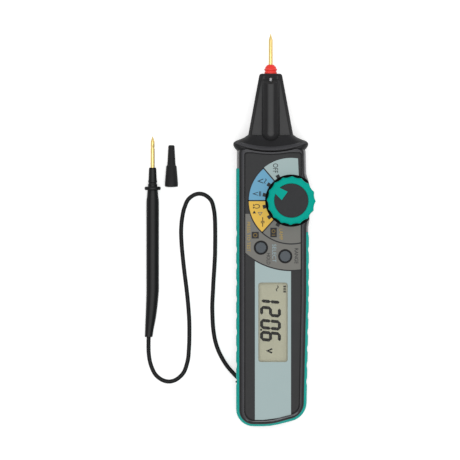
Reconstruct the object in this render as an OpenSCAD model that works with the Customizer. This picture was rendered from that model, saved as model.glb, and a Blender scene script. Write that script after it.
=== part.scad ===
// Pen multimeter lying on its back: +Y runs along it towards the test pin, +Z is up out of its face.
// The origin is the middle of the case's flat back. All sizes are in millimetres.

/* [Case] */
// Length of the case from its foot to the finger guard
case_len = 133; // [124:1:140]
// Reach of the case to the left of the pin axis
case_left = 16.4; // [15.5:0.1:18]
// Reach of the case to the right of the pin axis, at its waist
case_right = 18.2; // [17.8:0.1:20]
// Reach of the case to the right near the foot
foot_right = 16.9; // [16:0.1:17.7]
// Reach of the case to the right near the finger guard
head_right = 16.9; // [16:0.1:17.7]
// How much higher the foot's right end lies than its left end
foot_rise = 4.4; // [3:0.1:6]
// Height of the front rim over the surface that the meter lies on
case_h = 26; // [25:0.5:29]
// Height of the parting line between the two shells, and of the pin axis
split_z = 13; // [12.5:0.1:13.5]
// Wall of the shells
wall = 1.6; // [1.2:0.1:2]
// Floor of the rear shell
floor_t = 1.8; // [1.4:0.1:2.2]
// Roof of the front shell, under the face panel
roof_t = 2; // [1.6:0.1:2.4]
// Swell of the right side beside the dial
dial_swell = 0.6; // [0.3:0.1:1]

/* [Face] */
// Reach of the face panel to the left
panel_left = 12.3; // [11.8:0.1:12.6]
// Reach of the face panel to the right, above the waist
panel_right = 14.5; // [14:0.1:14.8]
// Thickness of the face panel
panel_t = 0.5; // [0.3:0.1:0.8]
// Depth of the face panel below the front rim
panel_drop = 0.5; // [0.3:0.1:0.8]
// Width of the display window
window_w = 14.2; // [13:0.1:14.6]
// Length of the display window
window_len = 38.4; // [36:0.1:40]
// Middle of the display window to the right of the pin axis
window_x = 1.1; // [0.8:0.1:1.4]
// Middle of the display window below the dial's centre
window_below = 58.8; // [57:0.1:60]

/* [Dial] */
// Place of the dial to the right of the pin axis
dial_x = 9.9; // [9:0.1:10.5]
// Place of the dial behind the case's head end
dial_back = 24.1; // [23.5:0.1:25]
// Radius over the ridges of the thumb wheel
dial_r = 11.8; // [11:0.1:12.1]
// Depth of the valleys between the ridges
ridge_depth = 0.4; // [0.2:0.05:0.6]
// Number of ridges
ridges = 16; // [12:1:20]
// Radius of the dark disc in the wheel
dial_cap_r = 8.2; // [7.5:0.1:8.6]
// Height of the wheel's top over the front rim
dial_rise = 5; // [4:0.5:6]
// Gap between the wheel and its well
well_gap = 0.8; // [0.5:0.1:1]
// Depth of the well below the face panel's top
well_depth = 5.3; // [5:0.1:5.5]
// Radius of the dial's shaft
shaft_r = 2.2; // [2:0.05:2.4]
// Angle between two switch positions
dial_step = 24.4; // [20:0.1:26]
// Angle of the pointer at rest, counter-clockwise from +X
dial_rest = 144.4; // [143:0.1:146]

/* [Keys] */
// Radius of the two keys
key_r = 2.65; // [2.3:0.05:2.8]
// Distance of the keys from the dial's centre
key_orbit_r = 27.05; // [26:0.05:28]
// Angle of the left key about the dial, counter-clockwise from +X
hold_angle = 237.2; // [235:0.1:239]
// Angle of the right key about the dial
select_angle = 263.8; // [262:0.1:266]
// Travel of a key
key_travel = 0.6; // [0.4:0.1:0.8]
// Height of the key tops over the face panel
key_rise = 0.4; // [0.2:0.1:0.8]

/* [Nose] */
// Length of the nose from the case to the red collar
nose_len = 37.4; // [35:0.1:40]
// Half width of the nose's tip
nose_tip_w = 5.4; // [5.2:0.1:6]
// Half width of the nose's root
nose_root_w = 11; // [10:0.1:12]
// Half depth of the nose's tip
nose_tip_h = 4.6; // [4.4:0.1:5]
// Half depth of the nose's root
nose_root_h = 9.4; // [9:0.1:10]
// Radius of the lamp tube along the nose
tube_r = 4.4; // [4.2:0.1:4.6]
// Reach of the finger guard to either side
guard_w = 18.15; // [17.8:0.05:19]
// Radius of the test pin
pin_r = 1; // [0.8:0.05:1.1]
// Length of the bare test pin in front of the collar
pin_len = 15.1; // [12:0.1:18]
// Widest radius of the red collar
collar_r = 3.13; // [3:0.01:3.4]
// Length of the red collar
collar_len = 4.4; // [4:0.1:5]

/* [Grip] */
// How far the soft grip stands out of the case
grip_proud = 0.35; // [0.2:0.05:0.6]
// Depth of the grip's seat in the case
grip_seat = 1.2; // [1:0.1:1.5]
// Spacing of the finger dents
dent_pitch = 8; // [7:0.1:9]
// Depth of a finger dent
dent_depth = 0.35; // [0.2:0.05:0.5]
// Radius of the round that cuts a dent
dent_r = 5; // [3:0.5:8]
// Number of dents on each side
dents = 10; // [6:1:10]

/* [Battery] */
// Diameter of a button cell
cell_d = 11.6; // [11.4:0.1:11.6]
// Thickness of a button cell
cell_t = 5.4; // [5:0.1:5.4]
// Play round the cells
cell_play = 0.4; // [0.3:0.05:0.5]
// Width of the battery cover
cover_w = 20; // [19:0.5:21]
// Length of the battery cover
cover_len = 26; // [25:0.5:27]
// Thickness of the battery cover
cover_t = 1.6; // [1.2:0.1:1.8]

/* [Board] */
// Room between the board and the roof, for the display and the keys' switches
board_room = 7.4; // [7.2:0.1:8]
// Thickness of the circuit board
board_t = 1.4; // [1:0.1:1.6]
// Radius of the case screws' bosses
boss_r = 2.3; // [2:0.1:2.4]
// Radius of the case screws
screw_r = 1; // [0.8:0.05:1.2]
// Radius of the case screws' heads
screw_head_r = 1.8; // [1.6:0.05:1.9]

/* [Probe] */
// Radius of the lead
cord_r = 1; // [0.9:0.05:1.1]
// Radius of the probe's pin
probe_pin_r = 1; // [0.8:0.05:1.1]
// Length of the probe's bare pin
probe_pin_len = 15.4; // [13:0.1:17]
// Radius of the sleeve behind the pin
sleeve_r = 1.8; // [1.7:0.05:1.9]
// Length of the sleeve
sleeve_len = 9.2; // [8:0.1:10]
// Radius of the probe's guard ring
ring_r = 3.95; // [3.7:0.05:4.4]
// Thickness of the probe's guard ring
ring_t = 1.7; // [1.2:0.1:2]
// Radius of the probe's handle
handle_r = 3.05; // [2.8:0.05:3.3]
// Length of the probe's handle
handle_len = 71.2; // [68:0.1:74]

/* [Probe cap] */
// Length of the cap
cap_len = 20.1; // [19.5:0.1:22]
// Radius of the cap's mouth
cap_mouth_r = 3.2; // [3:0.05:3.4]
// Radius of the cap's front end
cap_tip_r = 1.55; // [1.5:0.05:1.8]
// Radial room round the sleeve
cap_room = 0.1; // [0.05:0.05:0.2]

/* [Hidden] */

// Facets of round exact forms, of rounds in hulls, and the overrun of cuts
$fn = 64;
cut = 0.5;
// Gap of parts that run in each other, gap of parts that stay clear, and gap of pieces that rest
run_gap = 0.08;
clear_gap = 0.3;
seat_gap = 0.05;

// Colours of the real finishes
charcoal = [0.2, 0.2, 0.2];
green = [0.0, 0.6, 0.5];
blue_grey = [0.36, 0.38, 0.42];
gold = [0.88, 0.8, 0.55];
steel = [0.75, 0.76, 0.78];
near_black = [0.1, 0.1, 0.1];

// Heights of the layers
panel_top = case_h - panel_drop;
roof_top = panel_top - panel_t;
roof_low = roof_top - roof_t;
dial_top = case_h + dial_rise;
well_z = panel_top - well_depth;
well_floor_t = 1.5;
board_top = roof_low - board_room;
board_low = board_top - board_t;
bay_top = floor_t + cell_d + 2 * cell_play;

// Places along the case
foot_y = -case_len / 2;
head_y = case_len / 2;
dial_y = head_y - dial_back;
nose_tip_y = head_y + nose_len;
pin_tip_y = nose_tip_y + collar_len + pin_len;

// Rounds of the case outline
foot_left_r = 8;
foot_right_r = 9;
foot_sweep_r = 30;
side_sweep_r = 600;
swell_round_r = 6;
swell_reach = 9;
swell_run = 4;
head_round_r = 2;
head_over = 1.5;
head_shoulder = 0.3;
waist_y = -5;

// How far the outline has drawn in, left, right, at the foot and at the head, where the case ends
front_draw = [2.9, 2.5, 1.9, 0.7];
rear_draw = [4.4, 4.4, 4, 1.5];
// Shares of the shell's depth and of the drawing in, from the parting line outwards
front_edge_shares = [[0, 0], [0.46, 0.06], [0.72, 0.2], [0.86, 0.4], [0.95, 0.68], [1, 1]];
rear_edge_shares = [[0, 0], [0.5, 0.04], [0.74, 0.18], [0.9, 0.48], [0.97, 0.76], [1, 1]];

// Geometry helpers

function unit(v) = v / norm(v);

function spin(v, angle) = [
    v.x * cos(angle) - v.y * sin(angle),
    v.x * sin(angle) + v.y * cos(angle)
];

function polar(radius, angle) = radius * [cos(angle), sin(angle)];

// Arc that rounds corner b between its neighbours; a corner is [x, y, radius, steps]
function corner_arc(a, b, c) =
    let (
        p = [b[0], b[1]],
        u = unit([a[0], a[1]] - p),
        v = unit([c[0], c[1]] - p),
        half = acos(u * v) / 2,
        centre = p + unit(u + v) * b[2] / sin(half),
        from = p + u * b[2] / tan(half) - centre,
        turn = (180 - 2 * half) * sign(u.y * v.x - u.x * v.y)
    )
    [for (i = [0:b[3]]) centre + spin(from, turn * i / b[3])];

function rounded(corners) =
    let (n = len(corners))
    [for (i = [0:n - 1]) each corner_arc(corners[(i + n - 1) % n], corners[i], corners[(i + 1) % n])];

function rounded_box(x0, y0, x1, y1, r, steps = 4) =
    rounded([[x0, y0, r, steps], [x1, y0, r, steps], [x1, y1, r, steps], [x0, y1, r, steps]]);

function middle(points) = [for (k = [0:2]) [for (p = points) p[k]] * [for (p = points) 1]] / len(points);

// Closed solid through rings that all have the same number of points
module loft(rings) {
    n = len(rings[0]);
    m = len(rings);
    first = n * m;
    sides = [for (k = [0:m - 2], i = [0:n - 1])
        let (j = (i + 1) % n, low = k * n, up = low + n)
        each [[low + i, up + i, up + j], [low + i, up + j, low + j]]];
    bottom = [for (i = [0:n - 1]) [first, i, (i + 1) % n]];
    top = [for (i = [0:n - 1]) [first + 1, first - n + (i + 1) % n, first - n + i]];
    polyhedron(
        points = concat([for (r = rings) each r], [middle(rings[0]), middle(rings[m - 1])]),
        faces = concat(sides, bottom, top),
        convexity = 6
    );
}

module block(low, high) {
    translate(low) cube(high - low);
}

module rod(from_z, to_z, r) {
    translate([0, 0, from_z]) cylinder(h = to_z - from_z, r = r);
}

// Lays a Z axis along Y, starting at y
module along_y(y, z = split_z) {
    translate([0, y, z]) rotate([-90, 0, 0]) children();
}

// Case outline, drawn in by d = [left, right, foot, head]
function case_corners(d, swell = dial_swell) = [
    [-case_left + d[0], foot_y + d[2], foot_left_r - d[0], 8],
    [0, foot_y + d[2], foot_sweep_r, 2],
    [foot_right - d[1], foot_y + foot_rise + d[2], foot_right_r - d[1], 8],
    [case_right - d[1], waist_y, side_sweep_r, 2],
    [case_right - d[1], dial_y - swell_reach - swell_run, swell_round_r, 2],
    [case_right + swell - d[1], dial_y - swell_reach, swell_round_r, 2],
    [case_right + swell - d[1], dial_y + swell_reach - swell_run / 4, swell_round_r, 2],
    [head_right + head_shoulder - d[1], dial_y + swell_reach + swell_run, swell_round_r, 2],
    [head_right - d[1], head_y + head_over - d[3], head_round_r, 2],
    [-case_left + d[0], head_y + head_over - d[3], head_round_r, 2]
];

function case_outline(d) = rounded(case_corners(d));

function case_ring(draw, share, z) = [for (p = case_outline(draw * share)) [p.x, p.y, z]];

module outline_prism(d, from_z, to_z) {
    translate([0, 0, from_z]) linear_extrude(height = to_z - from_z) polygon(case_outline(d));
}

module front_body() {
    loft([for (s = front_edge_shares) case_ring(front_draw, s[1], split_z + s[0] * (case_h - split_z))]);
}

module rear_body() {
    n = len(rear_edge_shares) - 1;
    loft([for (k = [0:n])
        let (s = rear_edge_shares[n - k])
        case_ring(rear_draw, s[1], split_z * (1 - s[0]))]);
}

// Inner faces of the shells: the wall, inside the grip's seat
inner_draw = (grip_seat + wall + front_draw[3]) * [1, 1, 1, 1];

// Nose and finger guard, each half lofted from its tip towards the case

// Bend of the finger guard: its lips run as arcs about a centre out in front
guard_bend_r = 45;
nose_edge = 1.3;
nose_crown = 3;
nose_side_share = 0.6;
nose_edge_share = 0.9;
nose_tip_round_r = 1;
// Shares of the tip's round: place back from the tip, and size
nose_tip_shares = [[0, 0.82], [0.3, 0.93], [1, 1]];
// Rings of the guard: distance in front of the guard's widest ring, half width, half depth
guard_root_drop = 0.6;
guard_root_y = head_y - guard_root_drop;
guard_table_shares = [
    [1, 0.584, 0.75], [0.73, 0.694, 0.79], [0.49, 0.826, 0.86], [0.31, 0.926, 0.95],
    [0.2, 0.97, 0.995], [0.107, 0.9945, 1], [0, 1, 0.98], [-0.107, 0.986, 0.95],
    [-0.21, 0.948, 0.93], [-0.31, 0.893, 0.92]
];
guard_run = 7.5;
guard_front_drop = 0.45;
guard_rear_drop = 0.3;
guard_front_h = case_h - split_z - guard_front_drop;
guard_rear_h = split_z - guard_rear_drop;
guard_corner_r = 5;

function nose_half(y, share, side) =
    let (
        t = (nose_tip_y - y) / nose_len,
        w = share * (nose_tip_w + t * (nose_root_w - nose_tip_w)),
        h = share * (nose_tip_h + t * (nose_root_h - nose_tip_h)),
        half = [[w, 0], [w, h * nose_side_share], [w - nose_edge, h * nose_edge_share], [nose_crown, h]]
    )
    [for (p = concat(half, [for (k = [len(half) - 1:-1:0]) [-half[k].x, half[k].y]]))
        [side * p.x, y, split_z + side * p.y]];

module nose_loft(side) {
    tips = [for (s = nose_tip_shares) nose_half(nose_tip_y - s[0] * nose_tip_round_r, s[1], side)];
    loft(concat(tips, [nose_half(head_y + guard_run, 1, side)]));
}

function guard_half(row, side, h) =
    let (
        w = guard_w * row[1],
        top = h * row[2],
        arc = [for (i = [0:6]) [w - guard_corner_r, top - guard_corner_r] + polar(guard_corner_r, 15 * i)],
        half = concat([[w, 0]], arc)
    )
    [for (p = concat(half, [for (k = [len(half) - 1:-1:0]) [-half[k].x, half[k].y]]))
        [side * p.x, guard_root_y + row[0] * guard_run + p.x * p.x / (2 * guard_bend_r), split_z + side * p.y]];

module guard_loft(side, h) {
    loft([for (row = guard_table_shares) guard_half(row, side, h)]);
}

// Lamp tube along the front of the nose
tube_sink = 1.3;
tube_root_up = 8.5;
tube_root_y = head_y + tube_root_up;
tube_tip_back = 1.9;
tube_slope = 9;

module tube_frame() {
    translate([0, nose_tip_y - tube_tip_back, split_z + nose_tip_h - tube_sink])
        rotate([90 - tube_slope, 0, 0]) children();
}

tube_len = (nose_tip_y - tube_tip_back - tube_root_y) / cos(tube_slope);
tube_bevel = 3.2;
lamp_bore_r = 1.6;
lens_r = 0.75;

module lamp_tube() {
    tube_frame() {
        difference() {
            cylinder(h = tube_len, r = tube_r);
            // Bevelled front end, which the lens looks out of
            translate([-2 * tube_r, tube_r, -cut]) rotate([-45, 0, 0])
                translate([0, -tube_bevel, -2 * tube_r]) cube([4 * tube_r, 2 * tube_r, 4 * tube_r]);
        }
        translate([0, 0, tube_len]) sphere(r = tube_r);
    }
}

// Groove between the guard's front lip and the rim of the face
lip_drop = 0.2;
lip_y = head_y - lip_drop;
groove_w = 0.9;
groove_depth = 0.9;

module bent_cut(y, from_z, to_z) {
    translate([0, y + guard_bend_r, from_z]) cylinder(h = to_z - from_z, r = guard_bend_r, $fn = 128);
}

module lip_groove() {
    difference() {
        bent_cut(lip_y - groove_w / 2, case_h - groove_depth, case_h + cut);
        bent_cut(lip_y + groove_w / 2, case_h - groove_depth - cut, case_h + 2 * cut);
    }
}

// Face panel's field: a recess with its own outline, whose top end is a long arc
panel_foot_gap = 2.9;
panel_foot_draw = 3.4;
panel_foot_r = 4.5;
panel_head_r = 47;
panel_head_gap = 2;
panel_corner_r = 1.2;
panel_play = 0.1;

function panel_corners(grow) = [
    [-panel_left - grow, foot_y + panel_foot_gap - grow, panel_foot_r, 6],
    [0, foot_y + panel_foot_gap - grow, foot_sweep_r, 2],
    [foot_right - panel_foot_draw + grow, foot_y + foot_rise + panel_foot_gap - grow, panel_foot_r, 6],
    [panel_right + grow, waist_y, side_sweep_r, 2],
    [panel_right + grow, head_y - panel_corner_r + grow, panel_corner_r, 3],
    [-panel_left - grow, head_y - panel_corner_r + grow, panel_corner_r, 3]
];

module panel_field(grow, from_z, to_z) {
    difference() {
        translate([0, 0, from_z]) linear_extrude(height = to_z - from_z)
            polygon(rounded(panel_corners(grow)));
        translate([0, head_y - panel_head_gap + grow + panel_head_r, from_z - cut])
            cylinder(h = to_z - from_z + 2 * cut, r = panel_head_r, $fn = 128);
    }
}

// Display
window_y = dial_y - window_below;
window_low = window_y - window_len / 2;
window_high = window_y + window_len / 2;
window_round_r = 0.8;
window_flange = 1.1;
window_flange_t = 0.8;
window_drop = 0.1;
glass_t = 2;
frame_wall = 0.9;

module window_field(grow, from_z, to_z) {
    translate([0, 0, from_z]) linear_extrude(height = to_z - from_z)
        polygon(rounded_box(window_x - window_w / 2 - grow, window_low - grow,
            window_x + window_w / 2 + grow, window_high + grow, window_round_r));
}

// Keys
key_bezel = 0.85;
key_flange = 0.7;
key_flange_t = 0.8;
stem_r = 1.3;
plunger_r = 1.5;
plunger_len = 2;
plunger_up = 0.6;
switch_w = 6;
stem_len = 2.2;
stem_low = roof_low - seat_gap - key_flange_t - stem_len;
switch_h = stem_low - plunger_up - board_top;

function key_place(angle) = [dial_x, dial_y] + polar(key_orbit_r, angle);

module at_key(angle) {
    translate(concat(key_place(angle), [0])) children();
}

// Well of the dial
well_r = dial_r + well_gap;

module at_dial() {
    translate([dial_x, dial_y, 0]) children();
}

// Case screws: two at the head, two beside the foot of the display
boss_x = 8.4;
boss_drop = 6.5;
low_boss_x = 11.2;
low_boss_up = 41;
screw_spots = [
    [-boss_x, head_y - boss_drop], [boss_x, head_y - boss_drop],
    [window_x - low_boss_x, foot_y + low_boss_up], [window_x + low_boss_x, foot_y + low_boss_up]
];
screw_len = 14;
screw_sink = 2.4;
boss_play = 0.35;
board_ledge = 1.2;
board_gap = 0.4;

module at_screws() {
    for (spot = screw_spots) {
        translate(concat(spot, [0])) children();
    }
}

// Battery bay
bay_x = 0.5;
bay_up = 18.5;
bay_y = foot_y + bay_up;
bay_wall = 1.4;
contact_t = 0.5;
contact_run = 1.3;
bay_half = [cell_t + contact_run, cell_d / 2 + cell_play];
cover_shift = [1, 1.5];
cover_x = bay_x + cover_shift.x;
cover_y = bay_y + cover_shift.y;
cover_gap = 0.15;
cover_lift_gap = 0.1;
cover_round_r = 2.5;
cover_screw_in = 3.2;
cover_screw_y = cover_y + cover_len / 2 - cover_screw_in;
cover_boss_len = 8;
cell_z = floor_t + cell_play + cell_d / 2;

// Test lead's exit: low in the left side, turned half way towards the nose
exit_turn = 135;
grommet_r = 1.9;
grommet_lip_r = 2.3;
grommet_lip = 0.8;
grommet_len = 5.3;
tie_r = 1.4;
tie_len = 1.5;
tail_len = 1;

module at_exit() {
    translate(lead_route[0]) rotate([0, 0, exit_turn]) rotate([0, 90, 0]) children();
}

module grommet_body(play = 0) {
    rotate([180, 0, 0]) {
        rod(0, grommet_len, grommet_r + play);
        rod(0, grommet_lip, grommet_lip_r + play);
    }
}

// Grip band
grip_low = 6;
grip_high = split_z + 0.86 * (case_h - split_z);
grip_left_drop = 8.5;
grip_left_end = head_y - grip_left_drop;
grip_right_drop = 15.2;
grip_right_end = dial_y - grip_right_drop;
dent_drop = 39.8;
dent_first_y = head_y - dent_drop;

module grip_seat_cut(play = 0) {
    intersection() {
        difference() {
            block([-2 * case_left, 2 * foot_y, grip_low - play], [2 * case_right, head_y, grip_high + play]);
            outline_prism((grip_seat + front_draw[3]) * [1, 1, 1, 1], grip_low - cut, grip_high + cut);
        }
        grip_reach();
    }
}

module grip_reach() {
    translate([0, 0, grip_low - cut]) linear_extrude(height = grip_high - grip_low + 2 * cut)
        polygon([
            [-2 * case_left, 2 * foot_y], [2 * case_right, 2 * foot_y], [2 * case_right, grip_right_end],
            [0, grip_right_end], [0, grip_left_end], [-2 * case_left, grip_left_end]
        ]);
}

// Front case
module front_case() {
    color(charcoal) difference() {
        union() {
            difference() {
                front_body();
                bent_cut(lip_y, split_z + guard_front_h - groove_depth, case_h + cut);
            }
            nose_loft(1);
            guard_loft(1, guard_front_h);
            intersection() {
                lamp_tube();
                block([-guard_w, 0, split_z], [guard_w, pin_tip_y, 2 * case_h]);
            }
        }
        front_cavity();
        lip_groove();
        panel_field(panel_play, roof_top, case_h + cut);
        window_field(run_gap, roof_low - cut, roof_top + cut);
        at_key(hold_angle) rod(roof_low - cut, roof_top + cut, key_r + run_gap);
        at_key(select_angle) rod(roof_low - cut, roof_top + cut, key_r + run_gap);
        at_dial() {
            rod(well_z, dial_top, well_r);
            rod(board_top, well_z + cut, shaft_r + run_gap);
        }
        grip_seat_cut();
        nose_bores();
        lamp_bores();
        at_screws() rod(split_z - cut, split_z + screw_hold, screw_r);
    }
}

boss_blind = 1.5;
screw_hold = roof_low - split_z - boss_blind;
well_wall = 1.2;

module front_cavity() {
    difference() {
        outline_prism(inner_draw, split_z - cut, roof_low);
        at_dial() rod(well_z - well_floor_t, case_h, well_r + well_wall);
        at_screws() rod(split_z, case_h, boss_r);
    }
}

// Bores of the nose for the pin's terminal and the lamp
terminal_r = 2.2;

module nose_bores() {
    along_y(head_y - wall - cut - head_over)
        rod(0, nose_len + wall + 2 * cut + head_over, terminal_r);
}

module lamp_bores() {
    tube_frame() {
        translate([0, 0, lens_depth]) cylinder(h = tube_len, r = lamp_bore_r);
        translate([0, 0, -cut]) cylinder(h = lens_depth + 2 * cut, r = lens_r);
    }
}

lens_depth = 3.5;

// Rear case
module rear_case() {
    color(charcoal) difference() {
        union() {
            difference() {
                union() {
                    rear_body();
                    nose_loft(-1);
                    guard_loft(-1, guard_rear_h);
                }
                outline_prism(inner_draw, floor_t, split_z + cut);
            }
            at_screws() rod(floor_t - seat_gap, split_z, boss_r);
            // Ledges that the board seats on
            intersection() {
                at_screws() rod(floor_t - seat_gap, board_low - seat_gap, boss_r + board_ledge);
                outline_prism(inner_draw + board_gap * [1, 1, 1, 1], 0, case_h);
            }
            bay_block();
        }
        nose_bores();
        at_screws() {
            rod(-cut, screw_sink, screw_head_r + clear_gap);
            rod(0, split_z + cut, screw_r + run_gap);
            rod(split_z, max(split_z, board_low) + cut, boss_r + run_gap);
        }
        bay_cuts();
        grip_seat_cut();
        at_exit() {
            grommet_body();
            // Scoop in the side, so that the lead can leave at its angle
            rod(-seat_gap, grommet_len, grommet_lip_r);
        }
    }
}

module bay_block() {
    block([bay_x - bay_half.x - bay_wall, bay_y - bay_half.y - bay_wall, floor_t / 2],
        [bay_x + bay_half.x + bay_wall, bay_y + bay_half.y + bay_wall, bay_top + bay_wall - seat_gap]);
    // Ledge that the cover seats on
    translate([0, 0, floor_t / 2]) linear_extrude(height = floor_t)
        polygon(cover_points(bay_wall));
    translate([cover_x, cover_screw_y, 0]) rod(floor_t / 2, cover_boss_len, boss_r);
}

function cover_points(grow) = rounded_box(cover_x - cover_w / 2 - grow, cover_y - cover_len / 2 - grow,
    cover_x + cover_w / 2 + grow, cover_y + cover_len / 2 + grow, cover_round_r);

module bay_cuts() {
    block([bay_x - bay_half.x, bay_y - bay_half.y, -cut], [bay_x + bay_half.x, bay_y + bay_half.y, bay_top]);
    translate([0, 0, -cut]) linear_extrude(height = cut + cover_t + cover_lift_gap)
        polygon(cover_points(cover_gap));
    translate([cover_x, cover_screw_y, 0]) rod(-cut, cover_boss_len - floor_t / 2, screw_r + run_gap);
}

// Grip
module side_grip() {
    color(green) difference() {
        intersection() {
            grip_outer();
            grip_reach();
        }
        outline_prism((grip_seat + front_draw[3]) * [1, 1, 1, 1], grip_low - cut, grip_high + cut);
        grip_dents();
    }
}

// Shares of the grip's height, and its draw as a share of the grip's seat
grip_edge_shares = [[0, 0.55], [0.1, 0], [0.4, -1], [0.7, -0.6], [0.88, 0.4], [1, 1.2]];

module grip_outer() {
    loft([for (s = grip_edge_shares)
        let (
            z = grip_low + s[0] * (grip_high - grip_low),
            front = max(0, (z - split_z) / (case_h - split_z)),
            d = grip_proud * s[1]
        )
        [for (p = case_outline(d * [1, 1, 1, 0] + side_slope(front))) [p.x, p.y, z]]]);
}

// Draw of the case's side at a share of the front shell's depth
function side_slope(share) = front_draw * lookup(share, front_edge_shares);

module grip_dents() {
    for (i = [0:dents - 1]) {
        y = dent_first_y - i * dent_pitch;
        translate([-case_left - grip_proud - dent_r + dent_depth, y, grip_low - cut])
            cylinder(h = grip_high - grip_low + 2 * cut, r = dent_r);
        translate([right_side(y) + grip_proud + dent_r - dent_depth, y, grip_low - cut])
            cylinder(h = grip_high - grip_low + 2 * cut, r = dent_r);
    }
}

// Reach of the case's right side at a height y
function right_side(y) = lookup(y, [[foot_y + foot_rise, foot_right], [waist_y, case_right]]);

// Face
module face_panel() {
    color(charcoal) difference() {
        panel_field(0, roof_top, panel_top);
        window_field(0, roof_top - cut, panel_top + cut);
        at_dial() rod(roof_top - cut, panel_top + cut, well_r);
        at_key(hold_angle) rod(roof_top - cut, panel_top + cut, key_r + key_bezel);
        at_key(select_angle) rod(roof_top - cut, panel_top + cut, key_r + key_bezel);
    }
}

module lcd_window() {
    color([0.7, 0.72, 0.7, 0.5]) union() {
        window_field(0, roof_low, roof_top - window_drop);
        window_field(window_flange, roof_low - window_flange_t, roof_low);
    }
}

glass_top = roof_low - window_flange_t;

module lcd_glass() {
    color([0.7, 0.7, 0.6]) window_field(window_flange / 2, glass_top - glass_t, glass_top);
}

module lcd_frame() {
    color(near_black) difference() {
        window_field(window_flange / 2 + frame_wall, board_top, glass_top);
        window_field(window_flange / 2 - frame_wall, board_top - cut, glass_top + cut);
        window_field(window_flange / 2, glass_top - glass_t, glass_top + cut);
    }
}

module zebra_strips() {
    strip_w = 1.8;
    color([0.85, 0.75, 0.65]) for (side = [0, 1]) {
        x = window_x + (side * 2 - 1) * (window_w / 2 + window_flange / 2 - frame_wall) - side * strip_w;
        block([x, window_low + strip_w, board_top], [x + strip_w, window_high - strip_w, glass_top - glass_t]);
    }
}

// Circuit board and what it carries

module circuit_board() {
    color([0.05, 0.35, 0.2]) difference() {
        outline_prism(inner_draw + board_gap * [1, 1, 1, 1], board_low, board_top);
        at_screws() rod(board_low - cut, board_top + cut, boss_r + boss_play);
        at_dial() rod(board_low - cut, board_top + cut, screw_head_r + clear_gap);
        // Window that the battery bay reaches through
        block(concat([bay_x, bay_y] - bay_half - (bay_wall + board_gap) * [1, 1], [board_low - cut]),
            concat([bay_x, bay_y] + bay_half + (bay_wall + board_gap) * [1, 1], [board_top + cut]));
    }
}

chip_w = 12;
chip_t = 1.6;

module board_chips() {
    color(near_black) {
        block([window_x - chip_w / 2, window_high - chip_w, board_low - chip_t],
            [window_x + chip_w / 2, window_high, board_low]);
        block([-chip_w / 2, dial_y - chip_w, board_low - chip_t], [0, dial_y - chip_w / 2, board_low]);
    }
}

buzzer_r = 5.5;
buzzer_t = 3.2;

module buzzer() {
    color(near_black) translate([window_x, window_high + buzzer_r + clear_gap, 0]) difference() {
        rod(board_low - buzzer_t, board_low, buzzer_r);
        rod(board_low - buzzer_t - cut, board_low - buzzer_t / 2, screw_r);
    }
}

module tact_switches() {
    color(steel) for (angle = [hold_angle, select_angle]) {
        at_key(angle) difference() {
            block([-switch_w / 2, -switch_w / 2, board_top],
                [switch_w / 2, switch_w / 2, board_top + switch_h]);
            rod(board_top + switch_h - plunger_len + plunger_up - key_travel - clear_gap,
                board_top + switch_h + cut, plunger_r + run_gap);
        }
    }
}

// Dial, turning about Z
rotor_gap = 0.4;
rotor_t = 2;
rotor_r = 4.9;
rotor_top = well_z - well_floor_t - rotor_gap;
rotor_low = rotor_top - rotor_t;
shaft_flange_r = 7.9;
shaft_flange_t = 2;
wheel_low = well_z + clear_gap;
spigot_r = 2;
spigot_len = 3;
web_t = 4;
cap_low = wheel_low + shaft_flange_t + web_t;
cap_drop = 0.3;
wheel_round_r = 1;
pointer_in = 4;
pointer_in_w = 4.8;
pointer_out_w = 3.3;

// One ridge every 360 / ridges degrees, with the pointer between two of them
function wheel_points() = [for (i = [0:ridges - 1])
    let (a = dial_rest + (i + 0.5) * 360 / ridges, q = 90 / ridges)
    each [polar(dial_r - ridge_depth, a - q), polar(dial_r, a - q / 4), polar(dial_r, a + q / 4),
        polar(dial_r - ridge_depth, a + q)]];

module wheel_blank() {
    intersection() {
        translate([0, 0, wheel_low]) linear_extrude(height = dial_top - wheel_low) polygon(wheel_points());
        rotate_extrude() polygon(concat(
            [[0, wheel_low], [dial_r - wheel_round_r, wheel_low]],
            [for (i = [-4:0])
                [dial_r - wheel_round_r, wheel_low + wheel_round_r] + polar(wheel_round_r, 22.5 * i)],
            [for (i = [0:4])
                [dial_r - wheel_round_r, dial_top - wheel_round_r] + polar(wheel_round_r, 22.5 * i)],
            [[0, dial_top]]
        ));
    }
}

module pointer_wedge(play, from_z, to_z) {
    out = dial_cap_r + play;
    translate([0, 0, from_z]) linear_extrude(height = to_z - from_z) rotate(dial_rest)
        polygon([
            [pointer_in - play, -pointer_in_w / 2 - play], [out, -pointer_out_w / 2 - play],
            [out, pointer_out_w / 2 + play], [pointer_in - play, pointer_in_w / 2 + play]
        ]);
}

module dial_wheel() {
    color(green) at_dial() {
        difference() {
            wheel_blank();
            difference() {
                rod(cap_low, dial_top + cut, dial_cap_r);
                pointer_wedge(0, cap_low - cut, dial_top + 2 * cut);
            }
            rod(wheel_low - cut, wheel_low + shaft_flange_t, shaft_flange_r);
            rod(wheel_low, wheel_low + shaft_flange_t + spigot_len, spigot_r);
        }
    }
}

module dial_cap() {
    color(charcoal) at_dial() difference() {
        rod(cap_low, dial_top - cap_drop, dial_cap_r);
        pointer_wedge(0, cap_low - cut, dial_top);
    }
}

module dial_shaft() {
    color(near_black) at_dial() difference() {
        union() {
            rod(wheel_low, wheel_low + shaft_flange_t, shaft_flange_r);
            rod(wheel_low, wheel_low + shaft_flange_t + spigot_len, spigot_r);
            rod(rotor_low, wheel_low, shaft_r);
        }
        rod(rotor_low - cut, wheel_low, screw_r);
    }
}

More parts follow.
